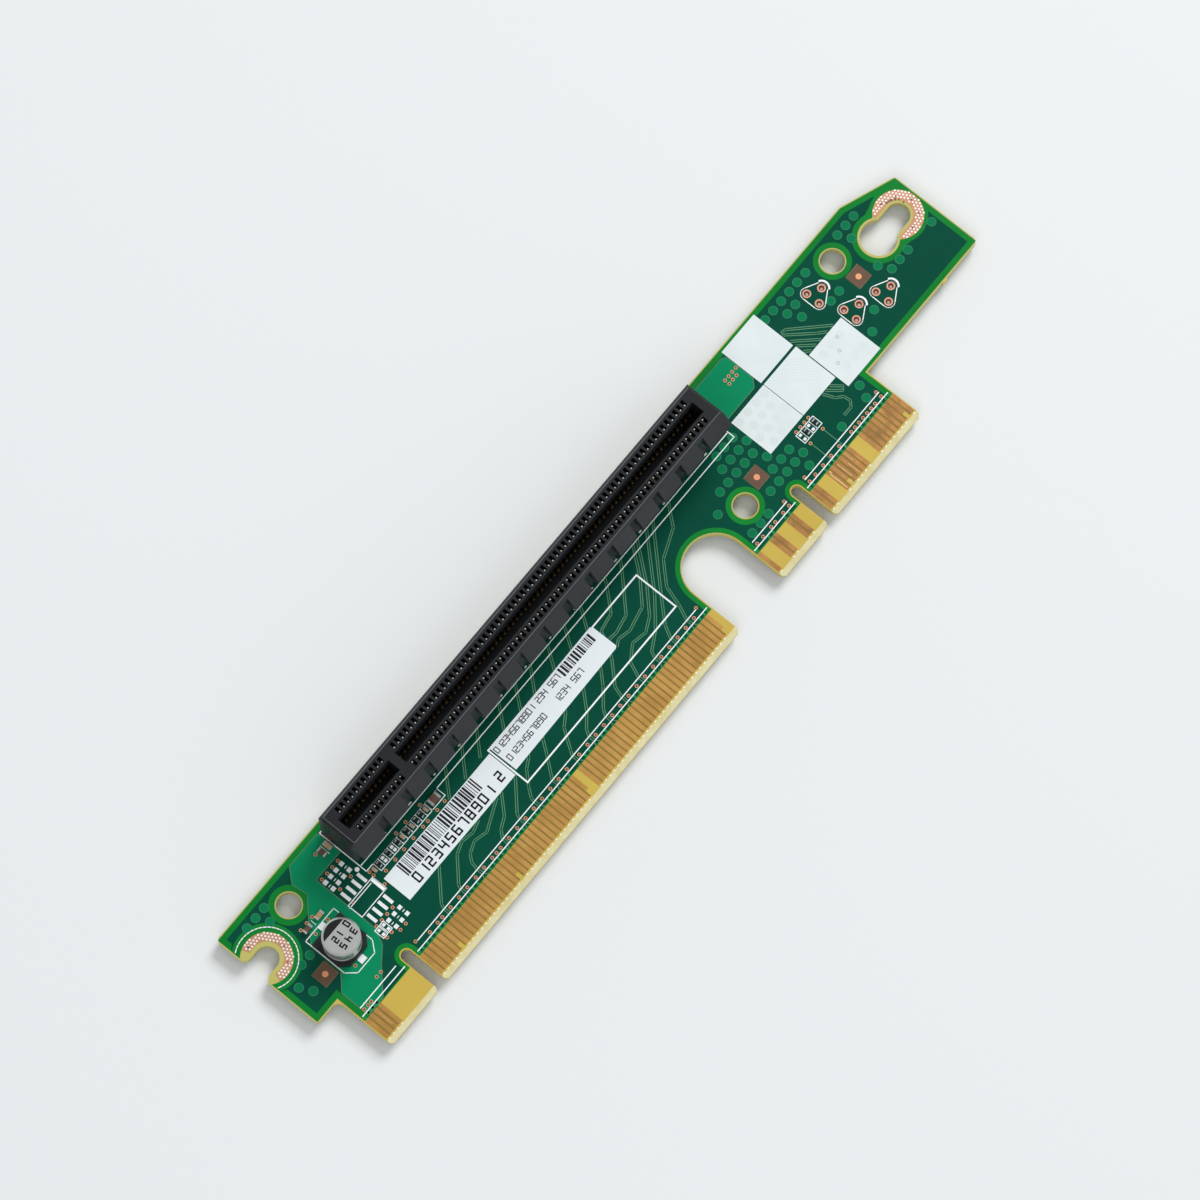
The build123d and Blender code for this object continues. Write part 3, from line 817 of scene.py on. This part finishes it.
# Round copper spots under the coat, in staggered rows
spot = {"ring": 0.78, "middle": 0.66, "back": 0.72, "ghost": 0.72}
spotRows = [
    (23.98, [-14.28, -12.24, -10.22]), (21.9, [-11.26]), (13.87, [-13.3, -11.35]), (11.91, [-16.3]),
    (9.85, [-15.3]),
    (15.65, [89.4, 91.3, 93.35, 129.7]), (13.65, [88.35, 90.4, 92.4, 94.4, 130.7, 132.7, 134.76, 140.74]),
    (11.6, [85.3, 87.3, 89.35, 91.37, 93.4, 123.7]), (9.57, [82.26, 94.4, 120.7]), (7.6, [93.4, 95.5, 97.5]),
    (5.6, [90.4, 92.5, 94.5, 96.5, 98.5, 112.6]), (3.55, [83.35, 85.4, 87.4, 97.5, 105.6, 111.7]),
    (23.76, [111.5, 113.5, 115.5, 117.5, 119.5, 121.57, 129.6, 131.65, 133.67]),
    (21.7, [114.5, 116.5, 130.6]),
    (19.63, [115.57]), (17.75, [120.5, 122.6]),
]
spots = [(x, y) for y, row in spotRows for x in row]
rings = [roundOutline(x, y, spot["ring"], 24) for x, y in spots]
flatPiece("spotRings", rings, "greenRing", layers["area"])
middles = [roundOutline(x, y, spot["middle"], 24) for x, y in spots]
flatPiece("copperSpots", middles, "greenDot", layers["spot"])

# Paired signal lines from the long connector up under the slot
signal = {"width": 0.13, "gap": 0.34, "start": 2.7, "bend": 1.35, "end": 0.85}
signalRuns = [
    [(7.2, 2.7), (7.5, 3.4), (11.8, 7.45)],
    [(11.2, 2.7), (11.5, 3.3), (15, 6.5), (17, 7.2), (19.2, 6.8), (21.2, 7.4)],
    [(15.2, 2.7), (15.4, 3.9), (16.3, 5), (18.3, 5.8), (20.6, 5.2), (25.7, 7.45)],
    [(21.3, 2.7), (22.3, 3.8), (24.2, 4.7), (26.8, 7.45)],
    [(25.4, 2.7), (25.7, 3.4), (30, 7.3), (34.5, 13.2), (37.5, 16.9)],
    [(28.9, 2.7), (29, 3.3), (30.2, 4.85), (32.1, 6.8), (33.7, 7.7), (38.5, 13.2), (41.5, 16.9)],
    [(33.3, 2.7), (35.8, 5.8), (37.3, 7.8), (42.0, 13.3), (45.2, 16.9)],
    [(38.2, 2.7), (38.65, 3.4), (40.8, 6.5), (42.8, 7.8), (46.8, 13.3), (49.4, 16.9)],
    [(42.2, 2.7), (42.8, 3.65), (45, 5.4), (47.3, 7.9), (51.0, 13.3), (53.4, 16.9)],
    [(46.3, 2.7), (46.9, 3.65), (49.7, 6), (51.6, 8), (54.8, 13.2), (57.4, 16.9)],
    [(50.2, 2.7), (50.8, 4.5), (54, 7.8), (56.3, 11.8), (59.4, 12.35), (62, 15.2), (63.4, 16.9)],
    [(54.3, 2.7), (55.3, 5.1), (57.9, 6.8), (60.5, 6.3), (62.9, 7.5), (66.5, 11), (71.3, 16.9)],
    [(58.3, 2.7), (58.7, 3.65), (61.8, 5.4), (66.1, 9.1), (73.6, 16.9)],
    [(62.2, 2.7), (63.3, 4.7), (66.8, 8.4), (75.2, 16.9)],
    [(66.1, 2.7), (67.2, 5.2), (68.2, 8.4), (71.3, 11.6), (76.2, 13.6), (79.0, 16.9)],
    [(55.9, 8.3), (57, 8.9), (59.2, 8.4), (63.3, 9.3), (66.8, 12.6), (70.2, 16.9)],
    [(56.1, 10), (57.6, 9.8), (60.7, 10.4), (65.8, 15.4), (67.2, 16.9)],
    [(20.9, 12.9), (24.6, 16.9)],
    [(24.9, 13.0), (28.6, 16.9)],
    [(28.9, 13.4), (32.2, 16.9)],
    [(107.3, 4.45), (109.0, 4.45), (109.75, 5.2), (109.6, 6.4), (108.6, 7.3), (107.8, 9.2)],
    [(108.6, 9.2), (110.3, 7.1), (110.9, 7.5), (109.6, 9.2)],
    [(117.6, 15.0), (112.3, 20.3), (111.6, 20.5), (111.4, 20.0), (114.9, 16.2), (116.2, 15.0)],
    [(113.4, 15.0), (111.3, 17.3)],
    [(112.2, 15.0), (111.3, 15.9)],
    [(114.6, 15.0), (111.3, 18.5)],
]


signalLines = []
for run in signalRuns:
    for side in (-signal["gap"] / 2, signal["gap"] / 2):
        signalLines += lineOutlines(shifted(run, side), signal["width"])
starts = [run[0] for run in signalRuns if run[0][1] == signal["start"]]
for x in (100.4, 103.4):
    signalLines += lineOutlines([(x, 5.4), (x, signal["end"])], widths["edge"])
for x, y in starts:
    for side in (-1, 1):
        tail = [(x + side * 0.17, y), (x + side * 0.2, signal["bend"]), (x + side * 0.5, signal["end"])]
        signalLines += lineOutlines(tail, widths["edge"])
flatPiece("signalLines", signalLines, "greenLine", layers["line"])

# Contact places: the long connector's, then the short one's
contact = {
    "stub": (0.36, 0.62),
    "stubMiddle": 1.18,
    "clearOfSignals": 0.8,
    "half": 0.33,
    "gapEnds": (-3.5, 0.84),
    "end": (0.36, 0.2),
    "endMiddle": -3.79,
    "dullEnds": (4.5, 18.5, 35.5, 68.5, 99.5, 113.5),
}
longPins = [-13.5, -12.5, -11.5, -10.5] + [n - 12.5 for n in range(12, 82) if n != 49]
shortPins = [81.5, 84.5, 85.5, 88.5, 89.5, 94.5, 95.5, 98.5, 99.5, 100.5, 101.5, 102.5, 103.5]
shortPins += [106.5 + n for n in range(9)]
stubs = []
for x in longPins + shortPins:
    if min(abs(x - start) for start, y in starts) > contact["clearOfSignals"]:
        stubs.append(centredBox(x, contact["stubMiddle"], *contact["stub"]))
flatPiece("contactStubs", stubs, "greenStub", layers["area"])

# Painted shade on the laminate between neighbouring contacts, a pale bevel and bright contact ends
gapShades = []
for pins in (longPins, shortPins):
    for a, b in zip(pins, pins[1:]):
        if b - a < 1.1:
            y0, y1 = contact["gapEnds"]
            gapShades.append(boxOutline(a + contact["half"], y0, b - contact["half"], y1))
flatPiece("contactGapShades", gapShades, "contactGapShade", faceHeights["bare"] + 0.008, 0.006)
brightPins = [x for x in longPins + shortPins if x not in contact["dullEnds"]]
ends = [centredBox(x, contact["endMiddle"], *contact["end"]) for x in brightPins]
flatPiece("contactEnds", ends, "brightGold", faceHeights["bare"] + 0.02, 0.016)


# The bevel's three lines across, each as its place and its drop below the board's face
bevel = {"lines": ((-3.8, 0), (-4.25, 0.213), (-4.752, 0.45)), "corner": 0.5, "lift": 0.004, "board": 1.5}


def bevelMesh(name, spans):
    verts = []
    faces = []
    corner = bevel["corner"]
    (startY, startDrop), (bendY, bendDrop), (tipY, tipDrop) = bevel["lines"]
    for x0, x1 in spans:
        for side in (1, -1):
            face = faceHeights["bare"] if side > 0 else faceHeights["bare"] - bevel["board"]
            outline = [(x0, startY, startDrop), (x1, startY, startDrop), (x1, bendY, bendDrop)]
            outline += [(x1 - corner, tipY, tipDrop), (x0 + corner, tipY, tipDrop), (x0, bendY, bendDrop)]
            n = len(verts)
            for x, y, drop in outline:
                verts.append((boardX(x), boardY(y), aboveBoard(face + side * (bevel["lift"] - drop))))
            loop = [n + i for i in range(len(outline))]
            faces.append(loop if side < 0 else loop[::-1])
    mesh = bpy.data.meshes.new(name)
    mesh.from_pydata(verts, [], faces)
    return mesh


tabSpans = [(-14.05, -2.95), (-1.05, 70.05), (80.95, 92.05), (93.95, 115.05)]
addPiece("bevelFaces", bevelMesh("bevelFaces", tabSpans), "bevelLaminate")
worn = [centredBox(x, y, w, d) for x, y, w, d in (
    (98.45, -1.6, 0.22, 3.4), (98.7, 0.3, 0.3, 0.5), (100.4, -1.2, 0.14, 3.0), (101.6, -2.0, 0.12, 2.2),
    (56.6, -2.6, 0.3, 0.1), (102.5, -0.4, 0.1, 1.6), (-11.5, -1.4, 0.1, 2.6), (99.6, -3.0, 0.5, 0.4),
)]
flatPiece("wornStreaks", worn, "wornThrough", layers["streak"], 0.003)

# Plated vias: an open ring with its well in painted shade, a dark copper-coloured disc for the hole
via = {"ring": 0.3, "well": 0.17}
viaRows = [
    (2.02, [-12.54, -11.67, -10.91]), (3.8, [-7.46, -6.48]),
    (1.98, [3.0, 4.9, 6.0, 7.98, 10, 12, 14, 16, 18, 19, 20, 22, 24, 26, 28, 30, 32, 34, 36, 39, 41, 43, 45,
            47, 49, 51, 53, 55, 57, 59, 61, 63, 65, 67]),
    (2.74, [0.5, 68.46]),
    (1.9, [82.48, 83.96, 85.96, 86.98, 88.93, 90.4, 95.48, 96.93, 98.85, 100.85, 102.85, 105.85, 106.8, 107.8,
           108.8, 109.8, 110.8, 111.8, 113.3]),
    (2.93, [90.43, 95.48, 113.35]), (20.0, [-1.2, 0.04, 1.3, 2.6]), (16.87, [-0.59, 2.0]), (14.04, [-0.91]),
    (23.28, [1.17, 4.24]), (8.83, [-1.48, -0.22, 1.04, 2.35]), (6.48, [-1.78, -0.7]), (5.67, [0.43, 1.7]),
    (15.27, [-8.3, -5.4]), (7.45, [-8.2]), (17.4, [-9.3, -7.87, -6.6]),
    (13.3, [6.1, 8.35, 10.44, 12.7, 15.0, 16.15, 18.4, 20.2]), (15.87, [11.56, 13.85, 17.3]), (15.1, [4.35]),
    (14.3, [4.35]), (12.1, [4.35]), (22.4, [99.85, 100.74, 101.63, 102.52]), (21.54, [99.85, 100.74, 101.63]),
    (8.52, [100.35, 101.4, 102.4, 103.4]), (5.65, [100.37, 103.43]),
]
vias = [(x, y) for y, row in viaRows for x in row]
rings = [roundOutline(x, y, via["ring"], 14) for x, y in vias]
wellShades = [roundOutline(x, y, via["well"], 10) for x, y in vias]
flatPiece("viaRings", rings, "viaRing", layers["ring"])
flatPiece("viaWellShades", wellShades, "viaWellShade", layers["well"])
flatPiece("backRings", rings, "viaRing", backLayers["ring"], base=back)
flatPiece("backWellShades", wellShades, "viaWellShade", backLayers["well"], base=back)
backSpots = [roundOutline(x, y, spot["back"], 20) for x, y in spots]
flatPiece("backSpots", backSpots, "greenDot", backLayers["spot"], base=back)

# Test holes in threes, each with a white outline and a filled tip; each hole is a disc of painted shade with
# a painted spot of light in it
test = {"ring": 0.7, "well": 0.47, "light": 0.24, "lightShift": (-0.12, -0.1), "outline": 1.0}
testSets = [
    [(119.0, 21.4), (119.0, 18.9), (121.2, 20.2)],
    [(120.67, 15.24), (120.67, 12.74), (122.9, 14.0)],
    [(126.17, 13.2), (126.17, 10.67), (128.4, 12.0)],
]
testHoles = [place for group in testSets for place in group]
testRings = [roundOutline(x, y, test["ring"], 24) for x, y in testHoles]
testWellShades = [roundOutline(x, y, test["well"], 20) for x, y in testHoles]
flatPiece("testRings", testRings, "ringCopper", layers["ring"])
flatPiece("testWellShades", testWellShades, "drilledHoleShade", layers["testWell"])
# Painted light: a pale spot in each hole, shifted as if the floor showed through
shiftX, shiftY = test["lightShift"]
lights = [roundOutline(x + shiftX, y + shiftY, test["light"], 14) for x, y in testHoles]
flatPiece("testPaintedLights", lights, "paintedLightThrough", layers["testLight"])
flatPiece("backTestRings", testRings, "ringCopper", backLayers["ring"], base=back)
flatPiece("backTestWellShades", testWellShades, "drilledHoleShade", backLayers["well"], base=back)


def roundedTriangle(places, reach):
    top, bottom, tip = places
    points = arcPoints(top[0], top[1], reach, 180, 60, 8)
    points += arcPoints(tip[0], tip[1], reach, 60, -60, 8)
    points += arcPoints(bottom[0], bottom[1], reach, -60, -180, 8)
    return points


whiteLines = []
for group in testSets:
    whiteLines += lineOutlines(closed(roundedTriangle(group, test["outline"])), widths["part"])
    x, y = group[2]
    whiteLines.append(arcPoints(x, y, 1.38, -58, 58, 14) + arcPoints(x - 0.1, y, 1.0, 62, -62, 12))

# White printed lines: rules above the contacts, outlines of parts and label places
for x0, x1, y in (
    (-12.83, -4.3, 2.63), (-13.59, -3.48, 1.52), (0.83, 68.2, 2.6), (-0.5, 69.6, 1.5), (82.15, 90.74, 2.6),
    (81.28, 91.46, 1.5), (95.2, 113.65, 2.6), (94.4, 114.5, 1.5), (4.12, 93.6, 15.54), (4.12, 93.6, 16.76),
):
    whiteLines.append(centredBox((x0 + x1) / 2, y, x1 - x0, widths["rule"]))
for x, y0, y1 in ((4.12, 15.5, 24.95), (93.6, 15.4, 17.06)):
    whiteLines.append(centredBox(x, (y0 + y1) / 2, widths["rule"], y1 - y0))
whiteLines.append(centredBox(4.5, 24.95, 0.9, widths["rule"]))
whiteLines += frameOutlines(30.57, 5.33, 66.67, 13.22, widths["place"])
canFrame = [(-10.15, 15.72), (-10.15, 8.0), (-8.8, 6.41), (-4.83, 6.41), (-3.48, 8.0), (-3.48, 15.72)]
whiteLines += lineOutlines(closed(canFrame), widths["can"])
whiteLines += frameOutlines(-1.78, 11.48, 4.02, 14.24, widths["part"])
whiteLines += [centredBox(0.6, 13.8, 5.2, widths["part"]), boxOutline(3.4, 11.5, 4.02, 14.2)]
whiteLines.append(roundOutline(3.43, 16.85, 0.38, 18))
rungs = [5.66, 6.69, 7.85, 8.9, 10.06, 11.1, 12.13, 13.38, 14.5, 15.63, 16.78, 17.8]
whiteLines += [centredBox(x, 14.7, widths["ladder"], 1.72) for x in rungs]
whiteLines += [centredBox(11.8, y, 12.4, widths["ladder"]) for y in (13.84, 15.56)]
for x0, y0, x1, y1 in (
    (17.9, 13.84, 20.94, 15.56), (99.85, 6.3, 104.05, 8.15), (-2.22, 6.8, -1.26, 8.59),
    (-1.04, 6.8, -0.17, 8.59),
):
    whiteLines += frameOutlines(x0, y0, x1, y1, widths["ladder"])
for x, y, length in (
    (-1.2, 18.43, 0.5), (0.04, 18.43, 0.5), (1.3, 18.43, 0.5), (2.6, 18.43, 0.5), (0.43, 7.24, 0.5),
    (1.74, 7.24, 0.5), (3.04, 7.24, 0.5), (7.3, 14.19, 0.35), (9.5, 14.19, 0.35),
):
    whiteLines.append(centredBox(x, y, length, widths["ladder"]))
for x, y, length in (
    (100.9, 7.22, 1.85), (101.95, 7.22, 1.85), (102.97, 7.22, 1.85), (-7.16, 16.65, 1.0), (2.66, 22.65, 1.9),
):
    whiteLines.append(centredBox(x, y, widths["ladder"], length))
whiteLines += lineOutlines(arcPoints(*card["notch"], 4.9, 119, -119, 30), widths["part"])
# The lines' ink is painted brighter than the blocks' ink: painted light
flatPiece("whiteLines", whiteLines, "lineInkPaintedLight", layers["print"])
print("print laid")

# Empty lands and the solder round the chips, with their highlight painted in
padRows = [
    ((-1.2, 0.04, 1.3, 2.6), (19.25, 17.72), 0.75, 0.7), ((0.43, 1.74, 3.04), (8.0, 6.5), 0.7, 0.65),
    ((-1.74, -0.6), (8.15, 7.2), 0.5, 0.5), ((7.3, 9.5), (15.0, 14.35), 0.55, 0.5),
    ((100.38, 102.43), (7.7, 6.75), 0.5, 0.45),
]
emptyPads = [centredBox(x, y, wide, deep) for xs, ys, wide, deep in padRows for x in xs for y in ys]
flatPiece("emptyPads", emptyPads, "tinPaintedHighlight", layers["land"], 0.03)

# Tinned dots on the bare copper round the notch and the keyhole's slot, with their highlight painted in, and
# a few dark stains
padDots = {
    "pitch": 0.56, "rowPitch": 0.87, "radius": 0.17, "low": 2.6, "high": 4.05, "rows": 11,
    "slotBack": -2.6, "notchRim": 0.3, "notchTurn": 106,
}
dots = []
slotX, slotY = card["keyholeSlot"]
notchX, notchY = card["notch"]
for row in range(-padDots["rows"], padDots["rows"] + 1):
    for column in range(-padDots["rows"], padDots["rows"] + 1):
        dx = (column + 0.5 * (row % 2)) * padDots["pitch"]
        dy = row * padDots["pitch"] * padDots["rowPitch"]
        away = math.hypot(dx, dy)
        if away > padDots["high"]:
            continue
        if dx > padDots["slotBack"] and (away if dx > 0 else abs(dy)) > padDots["low"]:
            dots.append(roundOutline(slotX + dx, slotY + dy, padDots["radius"], 10))
        turn = abs(math.degrees(math.atan2(dy, dx)))
        if away > padDots["low"] + padDots["notchRim"] and turn < padDots["notchTurn"]:
            dots.append(roundOutline(notchX + dx, notchY + dy, padDots["radius"], 10))
flatPiece("padDots", dots, "tinPaintedHighlight", layers["dot"])
stains = [
    (-16.4, 21.9, 0.22), (-12.75, 17.8, 0.17), (-14.3, 15.75, 0.17), (137.98, 21.6, 0.2), (138.7, 21.1, 0.2),
    (139.1, 20.95, 0.17), (139.5, 20.8, 0.22), (140.0, 20.4, 0.2), (140.4, 20.6, 0.15), (140.5, 19.1, 0.16),
    (140.35, 19.9, 0.14), (141.6, 18.4, 0.17), (140.6, 16.1, 0.17), (138.1, 15.4, 0.17),
]
stainOutlines = [roundOutline(x, y, radius, 9) for x, y, radius in stains]
flatPiece("padStains", stainOutlines, "stainedTin", layers["stain"])


# Plain figures made of seven strokes, and bars, on the labels and the capacitor
strokes = {
    "a": (0, 1, 1, 1), "b": (1, 1, 1, 0.5), "c": (1, 0.5, 1, 0), "d": (0, 0, 1, 0), "e": (0, 0.5, 0, 0),
    "f": (0, 1, 0, 0.5), "g": (0, 0.5, 1, 0.5),
}
figures = {
    "0": "abcdef", "1": "bc", "2": "abged", "3": "abgcd", "4": "fgbc", "5": "afgcd", "6": "afgedc",
    "7": "abc", "8": "abcdefg", "9": "abcdfg",
}
figureWidth = 0.56
bars = {"widths": (0.13, 0.13, 0.26, 0.4), "spaces": (0.14, 0.2, 0.3)}

# Rows of figures: text, place, height, pitch, weight and turn
figureRows = {
    "long": [("012345678901", 8.0, 8.18, 1.5, 1.58, 0.3), ("2", 28.1, 8.5, 1.5, 1, 0.3)],
    "round": [
        ("012345678901 234 567", 31.2, 11.72, 0.98, 0.78, 0.16, 0.7),
        ("01234567890   1234 567", 31.6, 9.45, 0.98, 0.83, 0.16, 0.7),
    ],
    "can": [("012", -4.53, 12.35, 1.0, 1.5, 0.26, 186), ("345", -4.68, 10.8, 1.0, 1.4, 0.26, 186)],
}


def figureRow(text, x, y, height, pitch, weight, turn=0.0):
    c = math.cos(math.radians(turn))
    s = math.sin(math.radians(turn))
    pieces = []
    for place, letter in enumerate(text):
        for name in figures.get(letter, ""):
            x0, y0, x1, y1 = strokes[name]
            ends = []
            for a, b in ((x0, y0), (x1, y1)):
                u = place * pitch + a * height * figureWidth
                v = b * height
                ends.append((x + c * u - s * v, y + s * u + c * v))
            pieces += lineOutlines(ends, weight)
    return pieces


def barRow(x, end, y0, y1):
    outlines = []
    while x < end:
        width = random.choice(bars["widths"])
        outlines.append(boxOutline(x, y0, x + width, y1))
        x += width + random.choice(bars["spaces"])
    return outlines


def figuresOn(place):
    return [outline for row in figureRows[place] for outline in figureRow(*row)]


flatPiece("longBars", barRow(7.65, 25.6, 10.07, 12.6), "labelInk", layers["label"])
flatPiece("longFigures", figuresOn("long"), "labelInk", layers["label"])
flatPiece("roundBars", barRow(47.1, 54.8, 11.45, 13.15), "labelInk", layers["label"])
flatPiece("roundFigures", figuresOn("round"), "dotInk", layers["label"])
flatPiece("canFigures", figuresOn("can"), "labelInk", faceHeights["canTop"] + layers["plane"])
canX, canY = card["can"]
# Solder at the can's leads, its highlight painted in
leadSolder = [centredBox(canX + 0.02, canY + side * 3.95, 1.25, 0.95) for side in (-1, 1)]
flatPiece("leadSolder", leadSolder, "tinPaintedHighlight", layers["leadSolder"], 0.2)
print("labels marked")

# Slot: a painted highlight on the tip in every cavity, bows in the groove in painted shade, painted
# highlights along the top's edges, solder dashes beside the flange with their highlight painted in
slot = {
    "tipRow": 1.78,
    "tip": (0.2, 0.2),
    "tipDrop": 0.3,
    "bowRow": 0.66,
    "bow": (0.34, 0.2),
    "bowDrop": 3.6,
    "bowThick": 0.5,
    "ends": (4.9, 92.6),
    "dashRow": 17.2,
    "dashDepth": 0.24,
    "dashLengths": (0.45, 0.6, 0.75),
    "dashThick": 0.04,
}
slotPins = [7.2 + n for n in range(11)] + [20.1 + n for n in range(71)]
middle = card["slotMiddle"]
top = faceHeights["slotTop"]


def slotRows(away, size):
    return [centredBox(x, middle + side * away, *size) for x in slotPins for side in (-1, 1)]


# A painted highlight on each contact's tip near the top
tipHighlights = slotRows(slot["tipRow"], slot["tip"])
flatPiece("contactTipHighlights", tipHighlights, "tipHighlight", top - slot["tipDrop"], 0.3)
# The bows take the darkened contact metal: painted shade in the groove
bows = slotRows(slot["bowRow"], slot["bow"])
flatPiece("contactBows", bows, "springMetalPaintedShade", top - slot["bowDrop"], slot["bowThick"])
x0, x1 = slot["ends"]
# Painted highlights along the slot top's long edges and its end
edgeHighlights = [
    boxOutline(x0, middle - 3.17, x1, middle - 3.1),
    boxOutline(x0, middle + 3.08, x1, middle + 3.15),
    boxOutline(4.8, middle - 3.1, 4.87, middle + 3.1),
]
flatPiece("slotEdgeHighlights", edgeHighlights, "slotEdgeHighlight", top + 0.003, thin)
dashPlaces = [8.5, 10.45, 12.4, 14.4, 16.5] + [20.45 + 2 * n for n in range(36)]
dashes = []
for x in dashPlaces:
    dashes.append(centredBox(x, slot["dashRow"], random.choice(slot["dashLengths"]), slot["dashDepth"]))
flatPiece("solderDashes", dashes, "tinPaintedHighlight", layers["dash"], slot["dashThick"])

# Print blocks: copper below shows through faintly, with a few small hollow marks
block = {
    "pitch": (2.03, 2.02),
    "start": (96.1, 10.3),
    "stagger": 1.0,
    "ghostEnd": 102.4,
    "slantStart": 103.5,
    "slantPitch": 0.62,
    "slantTop": 17.1,
    "slantEnd": 110.9,
    "slantReach": 7.2,
    "mark": 0.24,
    "thick": 0.003,
}
pitchX, pitchY = block["pitch"]
startX, startY = block["start"]
ghosts = []
for row in range(4):
    rowStart = startX + (0.0 if row % 2 else block["stagger"])
    ghosts += [(rowStart + pitchX * n, startY + pitchY * row) for n in range(4)]
ghosts = [(x, y) for x, y in ghosts if x < block["ghostEnd"]]
ghosts += [(x + pitchX * n, y) for x, y in ((113.0, 13.2), (114.0, 9.2)) for n in range(3)]
ghostOutlines = [roundOutline(x, y, spot["ghost"], 20) for x, y in ghosts]
flatPiece("blockGhosts", ghostOutlines, "inkThinned", layers["block"], block["thick"])
slants = []
for n in range(9):
    x = block["slantStart"] + n * block["slantPitch"]
    run = min(block["slantEnd"] - x, block["slantReach"])
    slants += lineOutlines([(x, block["slantTop"]), (x + run, block["slantTop"] - run)], widths["slant"])
flatPiece("blockSlants", slants, "inkThinned", layers["block"], block["thick"])
hollow = []
for x, y in ((116.5, 13.3), (113.3, 10.5), (115.0, 11.6)):
    hollow += lineOutlines(closed(roundOutline(x, y, block["mark"], 10)), widths["mark"])
flatPiece("blockMarks", hollow, "stampInk", layers["block"] + thin, block["thick"])
print("slot and print blocks dressed")
